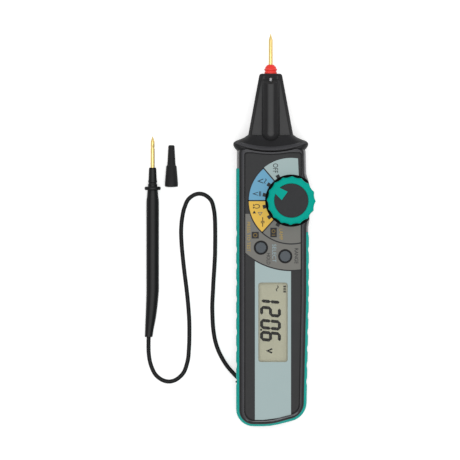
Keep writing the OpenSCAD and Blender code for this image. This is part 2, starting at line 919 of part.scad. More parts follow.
module switch_rotor() {
    color([0.85, 0.85, 0.8]) at_dial() difference() {
        rod(rotor_low, rotor_top, rotor_r);
        rod(rotor_low - cut, rotor_top + cut, shaft_r);
        rotate(dial_rest) translate([detent_orbit_r, 0, 0])
            rod(rotor_low + spring_floor, rotor_top + cut, ball_r + run_gap);
    }
}

wiper_w = 1;
wiper_t = 0.2;
wiper_gap = 0.15;

module wiper_contacts() {
    color(gold) at_dial() for (a = [60, 180, 300]) {
        rotate(dial_rest + a) union() {
            block([shaft_r + wiper_gap, -wiper_w / 2, rotor_low - wiper_t], [rotor_r, wiper_w / 2, rotor_low]);
            block([rotor_r - wiper_w, -wiper_w / 2, board_top + wiper_gap], [rotor_r, wiper_w / 2, rotor_low]);
        }
    }
}

// Detent: a sprung ball in the rotor under a ring with one notch for each position
ball_r = 0.5;
detent_orbit_r = 3.7;
detent_ring_t = 0.25;
spring_floor = 0.4;
notch_r = 0.6;
coil_r = 0.4;

module detent_ring() {
    color(steel) at_dial() difference() {
        rod(well_z - well_floor_t - detent_ring_t, well_z - well_floor_t, rotor_r);
        rod(rotor_low, well_z, shaft_r + clear_gap);
        for (k = [-4:1]) {
            rotate(dial_rest - k * dial_step) translate([detent_orbit_r, 0, 0]) rod(rotor_low, well_z, notch_r);
        }
    }
}

module detent_ball() {
    color(steel) at_dial() rotate(dial_rest)
        translate([detent_orbit_r, 0, rotor_top - ball_r]) sphere(r = ball_r);
}

module detent_spring() {
    color(steel) at_dial() rotate(dial_rest) translate([detent_orbit_r, 0, 0])
        rod(rotor_low + spring_floor, rotor_top - 2 * ball_r, coil_r);
}

module rotor_screw() {
    color(steel) at_dial() difference() {
        union() {
            rod(rotor_low - screw_head_t, rotor_low, screw_head_r);
            rod(rotor_low - screw_head_t, wheel_low, screw_r);
        }
        screw_slot(rotor_low - screw_head_t);
    }
}

// Keys, pressed along -Z

module key_top(angle) {
    color(blue_grey) at_key(angle) union() {
        rod(roof_low - seat_gap - cut / 2, panel_top + key_rise, key_r);
        rod(roof_low - seat_gap - key_flange_t, roof_low - seat_gap, key_r + key_flange);
        rod(stem_low, roof_low - key_flange_t, stem_r);
    }
}

module key_plunger(angle) {
    color(near_black) at_key(angle) rod(stem_low - plunger_len, stem_low, plunger_r);
}

module hold_button() {
    key_top(hold_angle);
}

module hold_plunger() {
    key_plunger(hold_angle);
}

module select_button() {
    key_top(select_angle);
}

module select_plunger() {
    key_plunger(select_angle);
}

// Test pin and its collar
pin_cone = 3.1;
pin_flat_r = 0.15;
pin_root = 12;
collar_spigot = 4;
terminal_len = 9;

// A pin whose held root, behind height 0, is a little thinner than its bare length
root_share = 0.7;

module pin_shape(r, root, len, cone) {
    rotate_extrude() polygon([[0, -root], [r * root_share, -root], [r * root_share, 0], [r, 0],
        [r, len - cone], [pin_flat_r, len], [0, len]]);
}

module test_pin() {
    color(gold) along_y(nose_tip_y + collar_len) pin_shape(pin_r, pin_root + collar_len, pin_len, pin_cone);
}

// Collar profile as shares of its radius and length
collar_shares = [
    [0.97, 0], [0.97, 0.14], [0.88, 0.22], [0.88, 0.3], [1, 0.4], [1, 0.51], [0.86, 0.58],
    [0.84, 0.68], [0.77, 0.78], [0.66, 0.87], [0.52, 0.95], [0.38, 1]
];

module pin_collar() {
    color([0.85, 0.2, 0.17]) along_y(nose_tip_y) difference() {
        union() {
            rotate_extrude() polygon(concat([[0, 0]],
                [for (s = collar_shares) [collar_r * s[0], collar_len * s[1]]], [[0, collar_len]]));
            rod(-collar_spigot, cut / 2, terminal_r);
        }
        rod(-collar_spigot - cut, collar_len + cut, pin_r * root_share);
    }
}

module pin_terminal() {
    color(gold) along_y(terminal_y) difference() {
        rod(0, terminal_len, terminal_r);
        rod(terminal_len / 2, terminal_len + cut, pin_r * root_share);
        rod(-cut, terminal_len / 3, wire_r);
    }
}

wire_r = 0.6;
wire_drop = 8;
terminal_y = nose_tip_y - pin_root - terminal_len / 2;

// Face of the board that the pin's wire comes to
pad_z = board_low > split_z ? board_low : board_top;

// Wires from the pin's terminal and from the lead's end to the board
module inner_leads() {
    color([0.7, 0.1, 0.1]) {
        along_y(head_y - wire_drop) rod(0, terminal_y + terminal_len / 3 - head_y + wire_drop, wire_r);
        translate([0, head_y - wire_drop + wire_r, 0]) rod(min(split_z, pad_z), max(split_z, pad_z), wire_r);
        at_exit() translate([0, 0, -grommet_len - tie_len - tail_len - wire_r])
            rotate([0, -90, 0]) rod(0, board_low - lead_route[0].z, wire_r);
    }
}

module tip_lamp() {
    color([0.9, 0.9, 0.85]) tube_frame() translate([0, 0, lens_depth]) union() {
        rod(0, lamp_len, lamp_bore_r - run_gap);
        rod(lamp_len - seat_gap, tube_len, wire_r);
    }
}

lamp_len = 4.5;

module lamp_lens() {
    color([0.9, 0.92, 0.95]) tube_frame() union() {
        rod(lens_start, lens_depth, lens_r);
        translate([0, 0, lens_start]) sphere(r = lens_r);
    }
}

lens_start = 0.6;

// Cells and contacts: a cell's can takes this share of its thickness, and its other pole the rest
can_share = 0.85;

module button_cells() {
    color(steel) for (side = [-1, 1]) {
        translate([bay_x + side * cell_t / 2 - cell_t / 2 + side * seat_gap, bay_y, cell_z])
            rotate([0, 90, 0]) union() {
                rod(0, cell_t * can_share, cell_d / 2);
                rod(0, cell_t, cell_d / 2 - cell_play * 2);
            }
    }
}

module cell_contacts() {
    spring_r = 2.5;
    color(gold) for (side = [-1, 1]) {
        end = bay_x + side * bay_half.x;
        inner = bay_x + side * (cell_t + 2 * seat_gap);
        low = min(end, end - side * contact_t);
        block([low, bay_y - spring_r, floor_t + cell_play],
            [low + contact_t, bay_y + spring_r, bay_top - seat_gap]);
        block([min(inner, end - side * contact_t), bay_y - spring_r / 2, cell_z - spring_r],
            [max(inner, end - side * contact_t), bay_y + spring_r / 2, cell_z + spring_r]);
    }
}

module battery_cover() {
    color(charcoal) difference() {
        translate([0, 0, cover_lift_gap]) linear_extrude(height = cover_t) polygon(cover_points(0));
        translate([cover_x, cover_screw_y, 0]) {
            rod(0, cover_t + cut, screw_r + run_gap);
            rod(0, cover_lift_gap + cover_t / 2, screw_head_r + clear_gap);
        }
        for (k = [0:rib_count - 1]) {
            translate([cover_x, cover_y - cover_len / 2 + rib_pitch * (k + 1), cover_lift_gap])
                block([-cover_w / 4, -rib_w / 2, -cut], [cover_w / 4, rib_w / 2, rib_w]);
        }
    }
}

rib_count = 5;
rib_pitch = 1.8;
rib_w = 0.6;

module cover_screw() {
    color(steel) translate([cover_x, cover_screw_y, 0]) difference() {
        union() {
            rod(cover_lift_gap + cover_t / 4, cover_lift_gap + cover_t / 2, screw_head_r);
            rod(cover_lift_gap + cover_t / 4, cover_boss_len - 2 * floor_t, screw_r);
        }
        screw_slot(cover_lift_gap + cover_t / 4);
    }
}

slot_w = 0.5;
slot_depth = 0.25;

module screw_slot(z) {
    for (turn = [0, 90]) {
        rotate(turn) block([-screw_head_r / 2, -slot_w / 2, z - cut],
            [screw_head_r / 2, slot_w / 2, z + slot_depth]);
    }
}

module case_screws() {
    head_low = screw_sink - screw_head_t;
    color(steel) at_screws() difference() {
        union() {
            rod(head_low, screw_sink, screw_head_r);
            rod(head_low, screw_sink + screw_len, screw_r);
        }
        screw_slot(head_low);
    }
}

screw_head_t = 1.2;

// Lead exit
module cord_grommet() {
    color(near_black) at_exit() difference() {
        grommet_body();
        rod(-grommet_len - cut, cut, cord_r);
    }
}

// Tie round the lead behind the grommet, so that a pull doesn't reach the board
module cord_tie() {
    color(steel) at_exit() difference() {
        rod(-grommet_len - tie_len, -grommet_len, tie_r);
        rod(-grommet_len - tie_len - cut, cut, cord_r);
    }
}

// The lead inside the case, up to where its wire is stripped
module lead_tail() {
    color(near_black) at_exit() rod(-grommet_len - tie_len - tail_len, -run_gap, cord_r);
}

lead_route = [
    [-15.6, -43.8, 3.4], [-18.6, -40.7, 3.1], [-21.2, -37.6, 2.2], [-23.6, -33.8, 1.3],
    [-25.6, -29.6, 1], [-27, -25, 1], [-27.8, -20, 1], [-28.2, -14, 1], [-28.3, -8, 1], [-28, -2, 1],
    [-27.7, 4, 1], [-27.3, 10, 1], [-27, 16, 1], [-26.9, 22, 1], [-26.9, 28, 1], [-27, 33, 1],
    [-27.5, 38, 1], [-29.2, 43, 1], [-34.4, 45.8, 1], [-39.6, 43.4, 1], [-41.8, 39, 1], [-42.9, 34, 1],
    [-43.4, 28, 1], [-43.2, 22, 1], [-42.6, 15, 1], [-41.7, 7, 1], [-40.7, -1, 1], [-40, -8, 1],
    [-39.5, -15, 1], [-39.4, -22, 1], [-39.6, -29, 1], [-40.4, -36, 1], [-43, -42, 1], [-49.2, -45.3, 1],
    [-55.2, -42.6, 1], [-58, -37.4, 1], [-59.1, -31.6, 1.4], [-59.2, -27, 2.2], [-59.15, -23.7, 2.58]
];
route_steps = 2;
cord_sides = 8;

function spline(a, b, c, d, t) =
    (2 * b + (c - a) * t + (2 * a - 5 * b + 4 * c - d) * t * t + (3 * b - a - 3 * c + d) * t * t * t) / 2;

function route_points(p) =
    let (n = len(p) - 1)
    concat([for (k = [0:n - 1], s = [0:route_steps - 1])
        spline(p[max(k - 1, 0)], p[k], p[k + 1], p[min(k + 2, n)], s / route_steps)], [p[n]]);

function cord_ring(p, dir, r) =
    let (side = unit(cross(dir, [0, 0, 1])), up = cross(side, dir))
    [for (i = [0:cord_sides - 1])
        let (a = (i + 0.5) * 360 / cord_sides)
        p + r * (cos(a) * side + sin(a) * up)];

module swept_tube(path, r) {
    n = len(path) - 1;
    loft([for (k = [0:n]) cord_ring(path[k], unit(path[min(k + 1, n)] - path[max(k - 1, 0)]), r)]);
}

module lead_cord() {
    color(near_black) swept_tube(route_points(lead_route), cord_r);
}

// Probe, resting on its guard ring and on the belly of its handle
probe_x = -57.2;
probe_ring_y = 48.4;
belly_share = 0.65;
probe_tilt = asin((ring_r - handle_r) / (handle_len * belly_share));

// Frame with Z along the probe towards its tip, from the middle of the guard ring
module at_probe() {
    translate([probe_x, probe_ring_y, ring_r]) rotate([-90 + probe_tilt, 0, 0]) children();
}

// Handle: shares of its length from the ring, its radius and its swing to the left at the tail
handle_swing = 1.95;
handle_shares = [
    [0, 0.82, 0], [0.05, 0.92, 0], [0.09, 1, 0], [0.3, 1, 0], [0.65, 1, 0], [0.7, 0.985, 0.03],
    [0.8, 0.91, 0.25], [0.88, 0.81, 0.52], [0.95, 0.68, 0.82], [1, 0.61, 1]
];
handle_sides = 16;

module probe_handle() {
    color(near_black) at_probe() difference() {
        mirror([0, 0, 1]) mirror([1, 0, 0]) loft([for (s = handle_shares)
            [for (i = [0:handle_sides - 1])
                let (a = (i + 0.5) * 360 / handle_sides)
                [handle_swing * s[2] + handle_r * s[1] * cos(a), handle_r * s[1] * sin(a),
                    ring_t / 2 + handle_len * s[0]]]]);
        rod(-ring_t / 2 - socket_len, 0, socket_r);
    }
}

socket_r = 1.5;
socket_len = 24;
ferrule_r = 1.4;
ferrule_len = 7;
pin_back = 14;

module probe_nose() {
    // Sleeve, step and guard ring in one moulding, as shares of the sleeve's length and radius
    sleeve_shares = [[0, 1.24], [0.13, 1.22], [0.14, 1.14], [0.9, 1], [0.97, 0.96], [1, 0.86]];
    edge = ring_t / 4;
    color(near_black) at_probe() difference() {
        union() {
            rotate_extrude() polygon(concat(
                [[0, -ring_t / 2], [ring_r - edge, -ring_t / 2], [ring_r, -ring_t / 4], [ring_r, ring_t / 4],
                    [ring_r - edge, ring_t / 2]],
                [for (s = sleeve_shares) [sleeve_r * s[1], ring_t / 2 + sleeve_len * s[0]]],
                [[0, ring_t / 2 + sleeve_len]]
            ));
            rod(-ring_t / 2 - ferrule_len / 2, 0, socket_r);
        }
        rod(-2 * ferrule_len, ring_t + sleeve_len, probe_pin_r * root_share);
    }
}

probe_cone = 2.9;

module probe_pin() {
    color(gold) at_probe() translate([0, 0, ring_t / 2 + sleeve_len])
        pin_shape(probe_pin_r, pin_back + sleeve_len, probe_pin_len, probe_cone);
}

module probe_ferrule() {
    color(steel) at_probe() difference() {
        rod(-pin_back - ferrule_len / 2, -pin_back + ferrule_len / 2, ferrule_r);
        rod(ring_t / 2 - pin_back, 0, probe_pin_r * root_share);
    }
}

// Probe cap, lying on the surface on its mouth's rim and its front end
cap_x = -48.1;
cap_mouth_y = 49.2;
cap_sleeve_depth = 5;
cap_end_t = 1.1;
cap_pin_room = 0.15;
// Shares of the mouth's radius and of the length, from the mouth to the front end's round
cap_shares = [[0.94, 0], [1, 0.03], [0.99, 0.1], [0.8, 0.48], [0.76, 0.5], [0.65, 0.52], [0.62, 0.56]];
cap_tip_shares = [[1, 0.97], [0.88, 1]];

function cap_edge(share) = [cap_mouth_r * share[0], cap_len * share[1]];

// The cap lies on the surface on two of its edges
cap_rest = [cap_edge(cap_shares[2]), cap_edge(cap_shares[3])];
cap_tilt = atan((cap_rest[0].x - cap_rest[1].x) / (cap_rest[1].y - cap_rest[0].y));
cap_z = cap_rest[0].y * sin(cap_tilt) + cap_rest[0].x * cos(cap_tilt);

module probe_cap() {
    color(near_black) translate([cap_x, cap_mouth_y, cap_z]) rotate([-90 - cap_tilt, 0, 0]) difference() {
        rotate_extrude() polygon(concat([[0, 0]], [for (s = cap_shares) cap_edge(s)],
            [for (s = cap_tip_shares) [cap_tip_r * s[0], cap_len * s[1]]], [[0, cap_len]]));
        rod(-cut, cap_sleeve_depth, sleeve_r + cap_room);
        rod(0, cap_len - cap_end_t, probe_pin_r + cap_pin_room);
    }
}

front_case();
rear_case();
side_grip();
face_panel();
lcd_window();
lcd_glass();
lcd_frame();
zebra_strips();
circuit_board();
board_chips();
buzzer();
tact_switches();
detent_ring();
dial_wheel();
dial_cap();
dial_shaft();
switch_rotor();
wiper_contacts();
detent_ball();
detent_spring();
rotor_screw();
hold_button();
hold_plunger();
select_button();
select_plunger();
test_pin();
pin_collar();
pin_terminal();
inner_leads();
tip_lamp();
lamp_lens();
button_cells();
cell_contacts();
battery_cover();
cover_screw();
case_screws();
cord_grommet();
cord_tie();
lead_tail();
lead_cord();
probe_handle();
probe_nose();
probe_pin();
probe_ferrule();
probe_cap();
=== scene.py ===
"""Looks of a pen multimeter that lies on its back with its test lead beside it.

The solids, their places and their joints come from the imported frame. This script
replaces the solids whose surface matters most with finer meshes of the same size,
prints the face, fills the display, and gives every piece its finish. All sizes in
the classes are millimetres in the frame's own axes: +Y runs along the meter towards
its test pin, +Z is up out of its face.
"""

import logging
import math
from dataclasses import dataclass, field, replace
from enum import Enum
from functools import cache
from typing import Any, Callable, Iterable, Optional, Sequence, Union

import bmesh
import bpy
from mathutils import Matrix, Vector


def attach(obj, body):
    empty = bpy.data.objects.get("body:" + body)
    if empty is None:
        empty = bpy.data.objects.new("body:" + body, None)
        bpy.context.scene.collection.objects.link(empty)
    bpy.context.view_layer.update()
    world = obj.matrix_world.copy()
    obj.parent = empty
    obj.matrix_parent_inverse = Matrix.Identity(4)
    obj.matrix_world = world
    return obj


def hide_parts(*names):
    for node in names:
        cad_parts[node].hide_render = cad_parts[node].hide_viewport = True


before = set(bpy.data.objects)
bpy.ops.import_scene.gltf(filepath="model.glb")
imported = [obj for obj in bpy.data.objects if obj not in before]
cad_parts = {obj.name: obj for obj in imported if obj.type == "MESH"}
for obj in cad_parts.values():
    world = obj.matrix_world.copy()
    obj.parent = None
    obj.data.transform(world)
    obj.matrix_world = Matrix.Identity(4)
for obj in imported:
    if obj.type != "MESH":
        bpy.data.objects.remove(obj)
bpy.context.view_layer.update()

MM = 0.001
LOG = logging.getLogger("pen_multimeter")

Point = tuple[float, float]
Triple = tuple[float, float, float]
Polygon = list[Point]
Profile = Sequence[Point]
Piece = bpy.types.Object
Tree = bpy.types.NodeTree
Socket = bpy.types.NodeSocket

WELD_M = 1e-7
SQUARE = ((-1, -1), (1, -1), (1, 1), (-1, 1))
WHITE = (1.0, 1.0, 1.0, 1.0)
# Light grey that edges are mixed towards as wear and painted highlight, and crowns as painted
# highlight
WEAR_AND_HIGHLIGHT_GREY = (0.8, 0.8, 0.8, 1.0)
# Turn of the normal at an edge lightened by wear and painted highlight, and its height on a crown
# with a painted highlight
EDGE_SPAN = (0.995, 0.8)
CROWN_SPAN = (0.9, 0.985)
# Upward share of a normal: above the first a face lies level, below the second it is upright
LEVEL = 0.75
UPRIGHT = 0.5
# Height of the built-in font's capitals as a share of its size
CAPITAL_SHARE = 0.7


class Body(str, Enum):
    """Rigid bodies of the meter that pieces ride on."""

    METER = "root"
    DIAL = "dial"
    HOLD_KEY = "hold_key"
    SELECT_KEY = "select_key"
    COVER = "cover"
    CAP = "cap"


# Colours and shader nodes


def linear(hex_colour: str) -> tuple[float, ...]:
    """Turns an sRGB colour, written as #rrggbb, into linear RGBA with an alpha of 1."""
    channels = (int(hex_colour[i : i + 2], 16) / 255 for i in (1, 3, 5))
    return *(c / 12.92 if c <= 0.04045 else ((c + 0.055) / 1.055) ** 2.4 for c in channels), 1.0


def add_node(
    tree: Tree,
    kind: str,
    settings: Optional[dict[Any, Any]] = None,
    links: Optional[dict[Any, Socket]] = None,
) -> bpy.types.Node:
    """Adds one shader node with its settings and links.

    Args:
        tree: Node tree that gets the node.
        kind: Blender's name of the node type.
        settings: Values by socket name or number, or by attribute name.
        links: Source sockets by the name or number of the socket they feed.

    Returns:
        The new node.
    """
    node = tree.nodes.new(kind)
    for key, value in (settings or {}).items():
        if isinstance(key, int) or key in node.inputs:
            node.inputs[key].default_value = value
        else:
            setattr(node, key, value)
    for key, source in (links or {}).items():
        tree.links.new(source, node.inputs[key])
    return node


def own_space(tree: Tree) -> Socket:
    """Adds the coordinates of the piece's own space."""
    return add_node(tree, "ShaderNodeTexCoord").outputs["Object"]


def noise(tree: Tree, size_mm: float, detail: float, rough: float = 0.5) -> Socket:
    """Adds a noise whose grains measure size_mm.

    Args:
        tree: Node tree that gets the nodes.
        size_mm: Size of one grain.
        detail: Number of finer layers.
        rough: How strong the finer layers are.

    Returns:
        The noise, from 0 to 1.
    """
    settings = {"Scale": 1 / (size_mm * MM), "Detail": detail, "Roughness": rough}
    source = {"Vector": own_space(tree)}
    return add_node(tree, "ShaderNodeTexNoise", settings, source).outputs["Fac"]


def remap(
    tree: Tree,
    value: Socket,
    low: float,
    high: float,
    span: Point = (0.0, 1.0),
    easing: str = "LINEAR",
) -> Socket:
    """Adds a map of a value from its span to the range between low and high.

    Args:
        tree: Node tree that gets the nodes.
        value: Value that is mapped.
        low: Result at the start of the span.
        high: Result at its end.
        span: Start and end of the value's span.
        easing: Blender's name of the kind of run between them.

    Returns:
        The mapped value.
    """
    settings = {"interpolation_type": easing, "From Min": span[0], "From Max": span[1]}
    settings |= {"To Min": low, "To Max": high}
    return add_node(tree, "ShaderNodeMapRange", settings, {"Value": value}).outputs["Result"]


def calc(tree: Tree, operation: str, first: Socket, second: Union[Socket, float]) -> Socket:
    """Adds one reckoning step on a socket and another socket or a number.

    Args:
        tree: Node tree that gets the nodes.
        operation: Blender's name of the step.
        first: First value.
        second: Second value, or a plain number.

    Returns:
        The result.
    """
    settings: dict[Any, Any] = {"operation": operation}
    links = {0: first}
    (settings if isinstance(second, float) else links)[1] = second
    return add_node(tree, "ShaderNodeMath", settings, links).outputs["Value"]


def blend(tree: Tree, factor: Socket, first: str, second: str) -> Socket:
    """Adds a blend of two hex colours."""
    settings = {"data_type": "RGBA", 6: linear(first), 7: linear(second)}
    return add_node(tree, "ShaderNodeMix", settings, {"Factor": factor}).outputs[2]


def relief(tree: Tree, height: Socket, strength: float, depth_mm: float) -> bpy.types.Node:
    """Adds a bump of a depth in millimetres."""
    settings = {"Strength": strength, "Distance": depth_mm * MM}
    return add_node(tree, "ShaderNodeBump", settings, {"Height": height})


def white_to_the_eye(tree: Tree) -> Socket:
    """Adds a switch that is 1 for what the camera, gloss and glass see, and else 0.

    Args:
        tree: Node tree that gets the nodes.

    Returns:
        The switch.
    """
    rays = add_node(tree, "ShaderNodeLightPath").outputs
    seen = rays["Is Camera Ray"]
    for kind in ("Is Glossy Ray", "Is Transmission Ray"):
        seen = calc(tree, "MAXIMUM", seen, rays[kind])
    return seen


# Finishes: what each surface is made of and how it was made


@dataclass(frozen=True)
class Finish:
    """What all finishes share: a name, a main colour and a second one close to it."""

    name: str
    colour: str
    second: str = ""

    def surface(self, tree: Tree) -> Socket:
        """Adds the nodes of the surface.

        Args:
            tree: Empty node tree of the material.

        Returns:
            The shader's output.
        """
        raise NotImplementedError

    def build(self) -> bpy.types.Material:
        """Makes the material.

        Returns:
            The new material.
        """
        material = bpy.data.materials.new(self.name)
        material.use_nodes = True
        tree = material.node_tree
        tree.nodes.clear()
        add_node(tree, "ShaderNodeOutputMaterial", links={"Surface": self.surface(tree)})
        return material


@dataclass(frozen=True)
class Moulding(Finish):
    """Injection-moulded plastic or rubber with a spark-eroded grain.

    The grain breaks up the highlight and slow mottling keeps the colour from lying dead flat.
    Edges turn a lighter grey, partly as wear and partly as a painted highlight, and faces
    that look up get a painted highlight, as from the soft box above.
    """

    roughness: float = 0.5
    specular: float = 0.15
    grain_mm: float = 0.35
    grain_depth_mm: float = 0.012
    mottle_mm: float = 6.0
    edge_mm: float = 0.25
    # How far edges turn lighter: partly wear, partly a painted highlight on rounded edges
    edge_wear_and_highlight: float = 0.12
    coat: float = 0.0
    sheen: float = 0.0
    # Painted highlight on faces that look up, standing in for the soft box above
    crown_painted_highlight: float = 0.0

    def surface(self, tree: Tree) -> Socket:
        """Adds the grain, the mottling, the edges lightened by wear and painted highlight, and the
        painted highlight on the crowns.

        Args:
            tree: Node tree that gets the nodes.

        Returns:
            The shader's output.
        """
        # Drawn three times coarser than real spark erosion, so that it shows
        grain = noise(tree, self.grain_mm, 2.0)
        bevel = add_node(tree, "ShaderNodeBevel", {"samples": 4, "Radius": self.edge_mm * MM})
        soft = bevel.outputs["Normal"]
        geometry = add_node(tree, "ShaderNodeNewGeometry").outputs
        facing = {0: soft, 1: geometry["True Normal"]}
        turned = add_node(tree, "ShaderNodeVectorMath", {"operation": "DOT_PRODUCT"}, facing)
        # Edges lighter: partly wear, partly a painted highlight where rounded edges catch light
        edge = remap(tree, turned.outputs["Value"], 0.0, self.edge_wear_and_highlight, EDGE_SPAN)
        upward = add_node(tree, "ShaderNodeSeparateXYZ", links={"Vector": geometry["Normal"]})
        # Painted highlight: faces that look up are lighter, as where the soft box above lights them
        crown_highlight = remap(tree, upward.outputs["Z"], 0.0, self.crown_painted_highlight, CROWN_SPAN, "SMOOTHSTEP")
        body = blend(tree, noise(tree, self.mottle_mm, 3.0, 0.6), self.colour, self.second)
        # Mixes the colour towards light grey: at edges as wear and painted highlight, at crowns as
        # painted highlight
        shades = {"Factor": calc(tree, "ADD", edge, crown_highlight), 6: body}
        wear_and_highlight = add_node(tree, "ShaderNodeMix", {"data_type": "RGBA", 7: WEAR_AND_HIGHLIGHT_GREY}, shades)
        rough = self.roughness
        gloss = remap(tree, grain, max(rough - 0.06, 0.03), rough + 0.06, (0.3, 0.7))
        bump = relief(tree, grain, 0.6, self.grain_depth_mm)
        tree.links.new(soft, bump.inputs["Normal"])
        settings = {
            "IOR": 1.5,
            "Specular IOR Level": self.specular,
            "Coat Weight": self.coat,
            "Coat Roughness": 0.12,
            "Sheen Weight": self.sheen,
            "Sheen Roughness": 0.4,
        }
        links = {"Base Color": wear_and_highlight.outputs[2], "Roughness": gloss, "Normal": bump.outputs[0]}
        return add_node(tree, "ShaderNodeBsdfPrincipled", settings, links).outputs[0]


@dataclass(frozen=True)
class PlatedMetal(Finish):
    """Turned metal with a thin plating.

    Fine turning rings run round the piece and slight thickness changes of the
    plating shift its colour. The IOR stays at its default, as metals have none here.
    """

    roughness: float = 0.2
    turning_mm: float = 0.3
    turning_axis: str = "Y"
    turning_depth_mm: float = 0.003

    def surface(self, tree: Tree) -> Socket:
        """Adds the turning rings and the plating's shifts of colour.

        Args:
            tree: Node tree that gets the nodes.

        Returns:
            The shader's output.
        """
        settings = {
            "wave_type": "BANDS",
            "bands_direction": self.turning_axis,
            "Scale": 0.314 / (self.turning_mm * MM),
            "Distortion": 1.5,
            "Detail": 2.0,
        }
        wave = add_node(tree, "ShaderNodeTexWave", settings, {"Vector": own_space(tree)})
        rings = wave.outputs["Fac"]
        links = {
            "Base Color": blend(tree, noise(tree, 3.0, 2.0), self.colour, self.second),
            "Roughness": remap(tree, rings, self.roughness * 0.8, self.roughness * 1.3),
            "Normal": relief(tree, rings, 0.4, self.turning_depth_mm).outputs[0],
        }
        return add_node(tree, "ShaderNodeBsdfPrincipled", {"Metallic": 1.0}, links).outputs[0]


@dataclass(frozen=True)
class PrintedInk(Finish):
    """Screen-printed ink on the face film.

    The mesh of the screen leaves a fine, even weave in the ink, and the film's satin
    coat lies over it.
    """

    roughness: float = 0.42
    mesh_mm: float = 0.5

    def surface(self, tree: Tree) -> Socket:
        """Adds the weave and the slow change of tone.

        Args:
            tree: Node tree that gets the nodes.

        Returns:
            The shader's output.
        """
        # The screen's mesh is 0.1 mm in truth, and five times coarser here to show
        settings = {"Scale": 1 / (self.mesh_mm * MM), "Randomness": 0.25}
        cells = add_node(tree, "ShaderNodeTexVoronoi", settings, {"Vector": own_space(tree)})
        weave = cells.outputs["Distance"]
        both = calc(tree, "MULTIPLY", weave, noise(tree, 9.0, 3.0))
        links = {
            "Base Color": blend(tree, both, self.colour, self.second),
            "Normal": relief(tree, weave, 0.3, 0.004).outputs[0],
        }
        settings = {"Roughness": self.roughness, "IOR": 1.45, "Specular IOR Level": 0.15}
        return add_node(tree, "ShaderNodeBsdfPrincipled", settings, links).outputs[0]


@dataclass(frozen=True)
class ClearMoulding(Finish):
    """Polished clear acrylic: mostly see-through, with a faint milky body and haze."""

    clearness: float = 0.5
    roughness: float = 0.08

    def surface(self, tree: Tree) -> Socket:
        """Adds the haze and the reflection that hides what lies below.

        Args:
            tree: Node tree that gets the nodes.

        Returns:
            The shader's output.
        """
        rough = self.roughness
        glance = add_node(tree, "ShaderNodeFresnel", {"IOR": 1.49}).outputs["Fac"]
        links = {
            "Roughness": remap(tree, noise(tree, 5.0, 4.0), rough * 0.6, rough * 1.5),
            "Alpha": calc(tree, "MAXIMUM", glance, 1 - self.clearness),
        }
        settings = {"Base Color": linear(self.colour), "IOR": 1.49}
        return add_node(tree, "ShaderNodeBsdfPrincipled", settings, links).outputs[0]


@dataclass(frozen=True)
class DisplayGlass(Finish):
    """Liquid-crystal glass over a pearly reflector, a little greener towards one end."""

    def surface(self, tree: Tree) -> Socket:
        """Adds the pearly reflector and the drift of its colour.

        Args:
            tree: Node tree that gets the nodes.

        Returns:
            The shader's output.
        """
        links = {
            "Base Color": blend(tree, noise(tree, 25.0, 1.0), self.colour, self.second),
            "Normal": relief(tree, noise(tree, 0.4, 2.0), 0.2, 0.004).outputs[0],
        }
        settings = {"Roughness": 0.35, "IOR": 1.45, "Specular IOR Level": 0.3}
        return add_node(tree, "ShaderNodeBsdfPrincipled", settings, links).outputs[0]


@dataclass(frozen=True)
class StudioSheet(Finish):
    """Matt white sheet under the meter: white to the camera, and keeps its shadow."""

    glow: float = 0.5

    def surface(self, tree: Tree) -> Socket:
        """Adds the paper, its glow, and the clear underside.

        Args:
            tree: Node tree that gets the nodes.

        Returns:
            The shader's output.
        """
        level = calc(tree, "MULTIPLY", white_to_the_eye(tree), self.glow)
        paper = add_node(tree, "ShaderNodeBsdfDiffuse", {"Color": linear(self.colour)})
        white = add_node(tree, "ShaderNodeEmission", {"Color": WHITE}, {"Strength": level})
        both = {0: paper.outputs[0], 1: white.outputs[0]}
        # Clear from beneath, so that the meter's back can be looked at
        links = {
            0: add_node(tree, "ShaderNodeNewGeometry").outputs["Backfacing"],
            1: add_node(tree, "ShaderNodeAddShader", links=both).outputs[0],
            2: add_node(tree, "ShaderNodeBsdfTransparent").outputs[0],
        }
        return add_node(tree, "ShaderNodeMixShader", links=links).outputs[0]


CASE_ABS = Moulding(
    "abs_charcoal_moulded", "#202021", "#272729", 0.46, specular=0.09, grain_mm=0.5, edge_wear_and_highlight=0.07
)
# Nose plastic: the same charcoal with a painted highlight along the crowns of the tube and flanks
NOSE_ABS = replace(
    CASE_ABS, name="abs_charcoal_nose", colour="#222223", second="#29292a", edge_wear_and_highlight=0.05,
    crown_painted_highlight=0.05,
)
# Lighter copy of the charcoal: a painted highlight along the rim's crest and the guard's lip
CREST_HIGHLIGHT_ABS = Moulding(
    "abs_charcoal_painted_crest_highlight", "#38383b", "#404043", 0.34, grain_depth_mm=0.004
)
# Lighter copy of the charcoal: painted light on the upright sides of the front shell
FLANK_LIT_ABS = Moulding("abs_charcoal_painted_lit_flank", "#5c5c5e", "#656567", 0.4, grain_mm=0.5)
# Still lighter copy of the charcoal: a painted highlight on the rim's crest at the foot
FOOT_HIGHLIGHT_ABS = Moulding("abs_charcoal_painted_foot_highlight", "#66686b", "#6e7073", 0.3, grain_depth_mm=0.004)
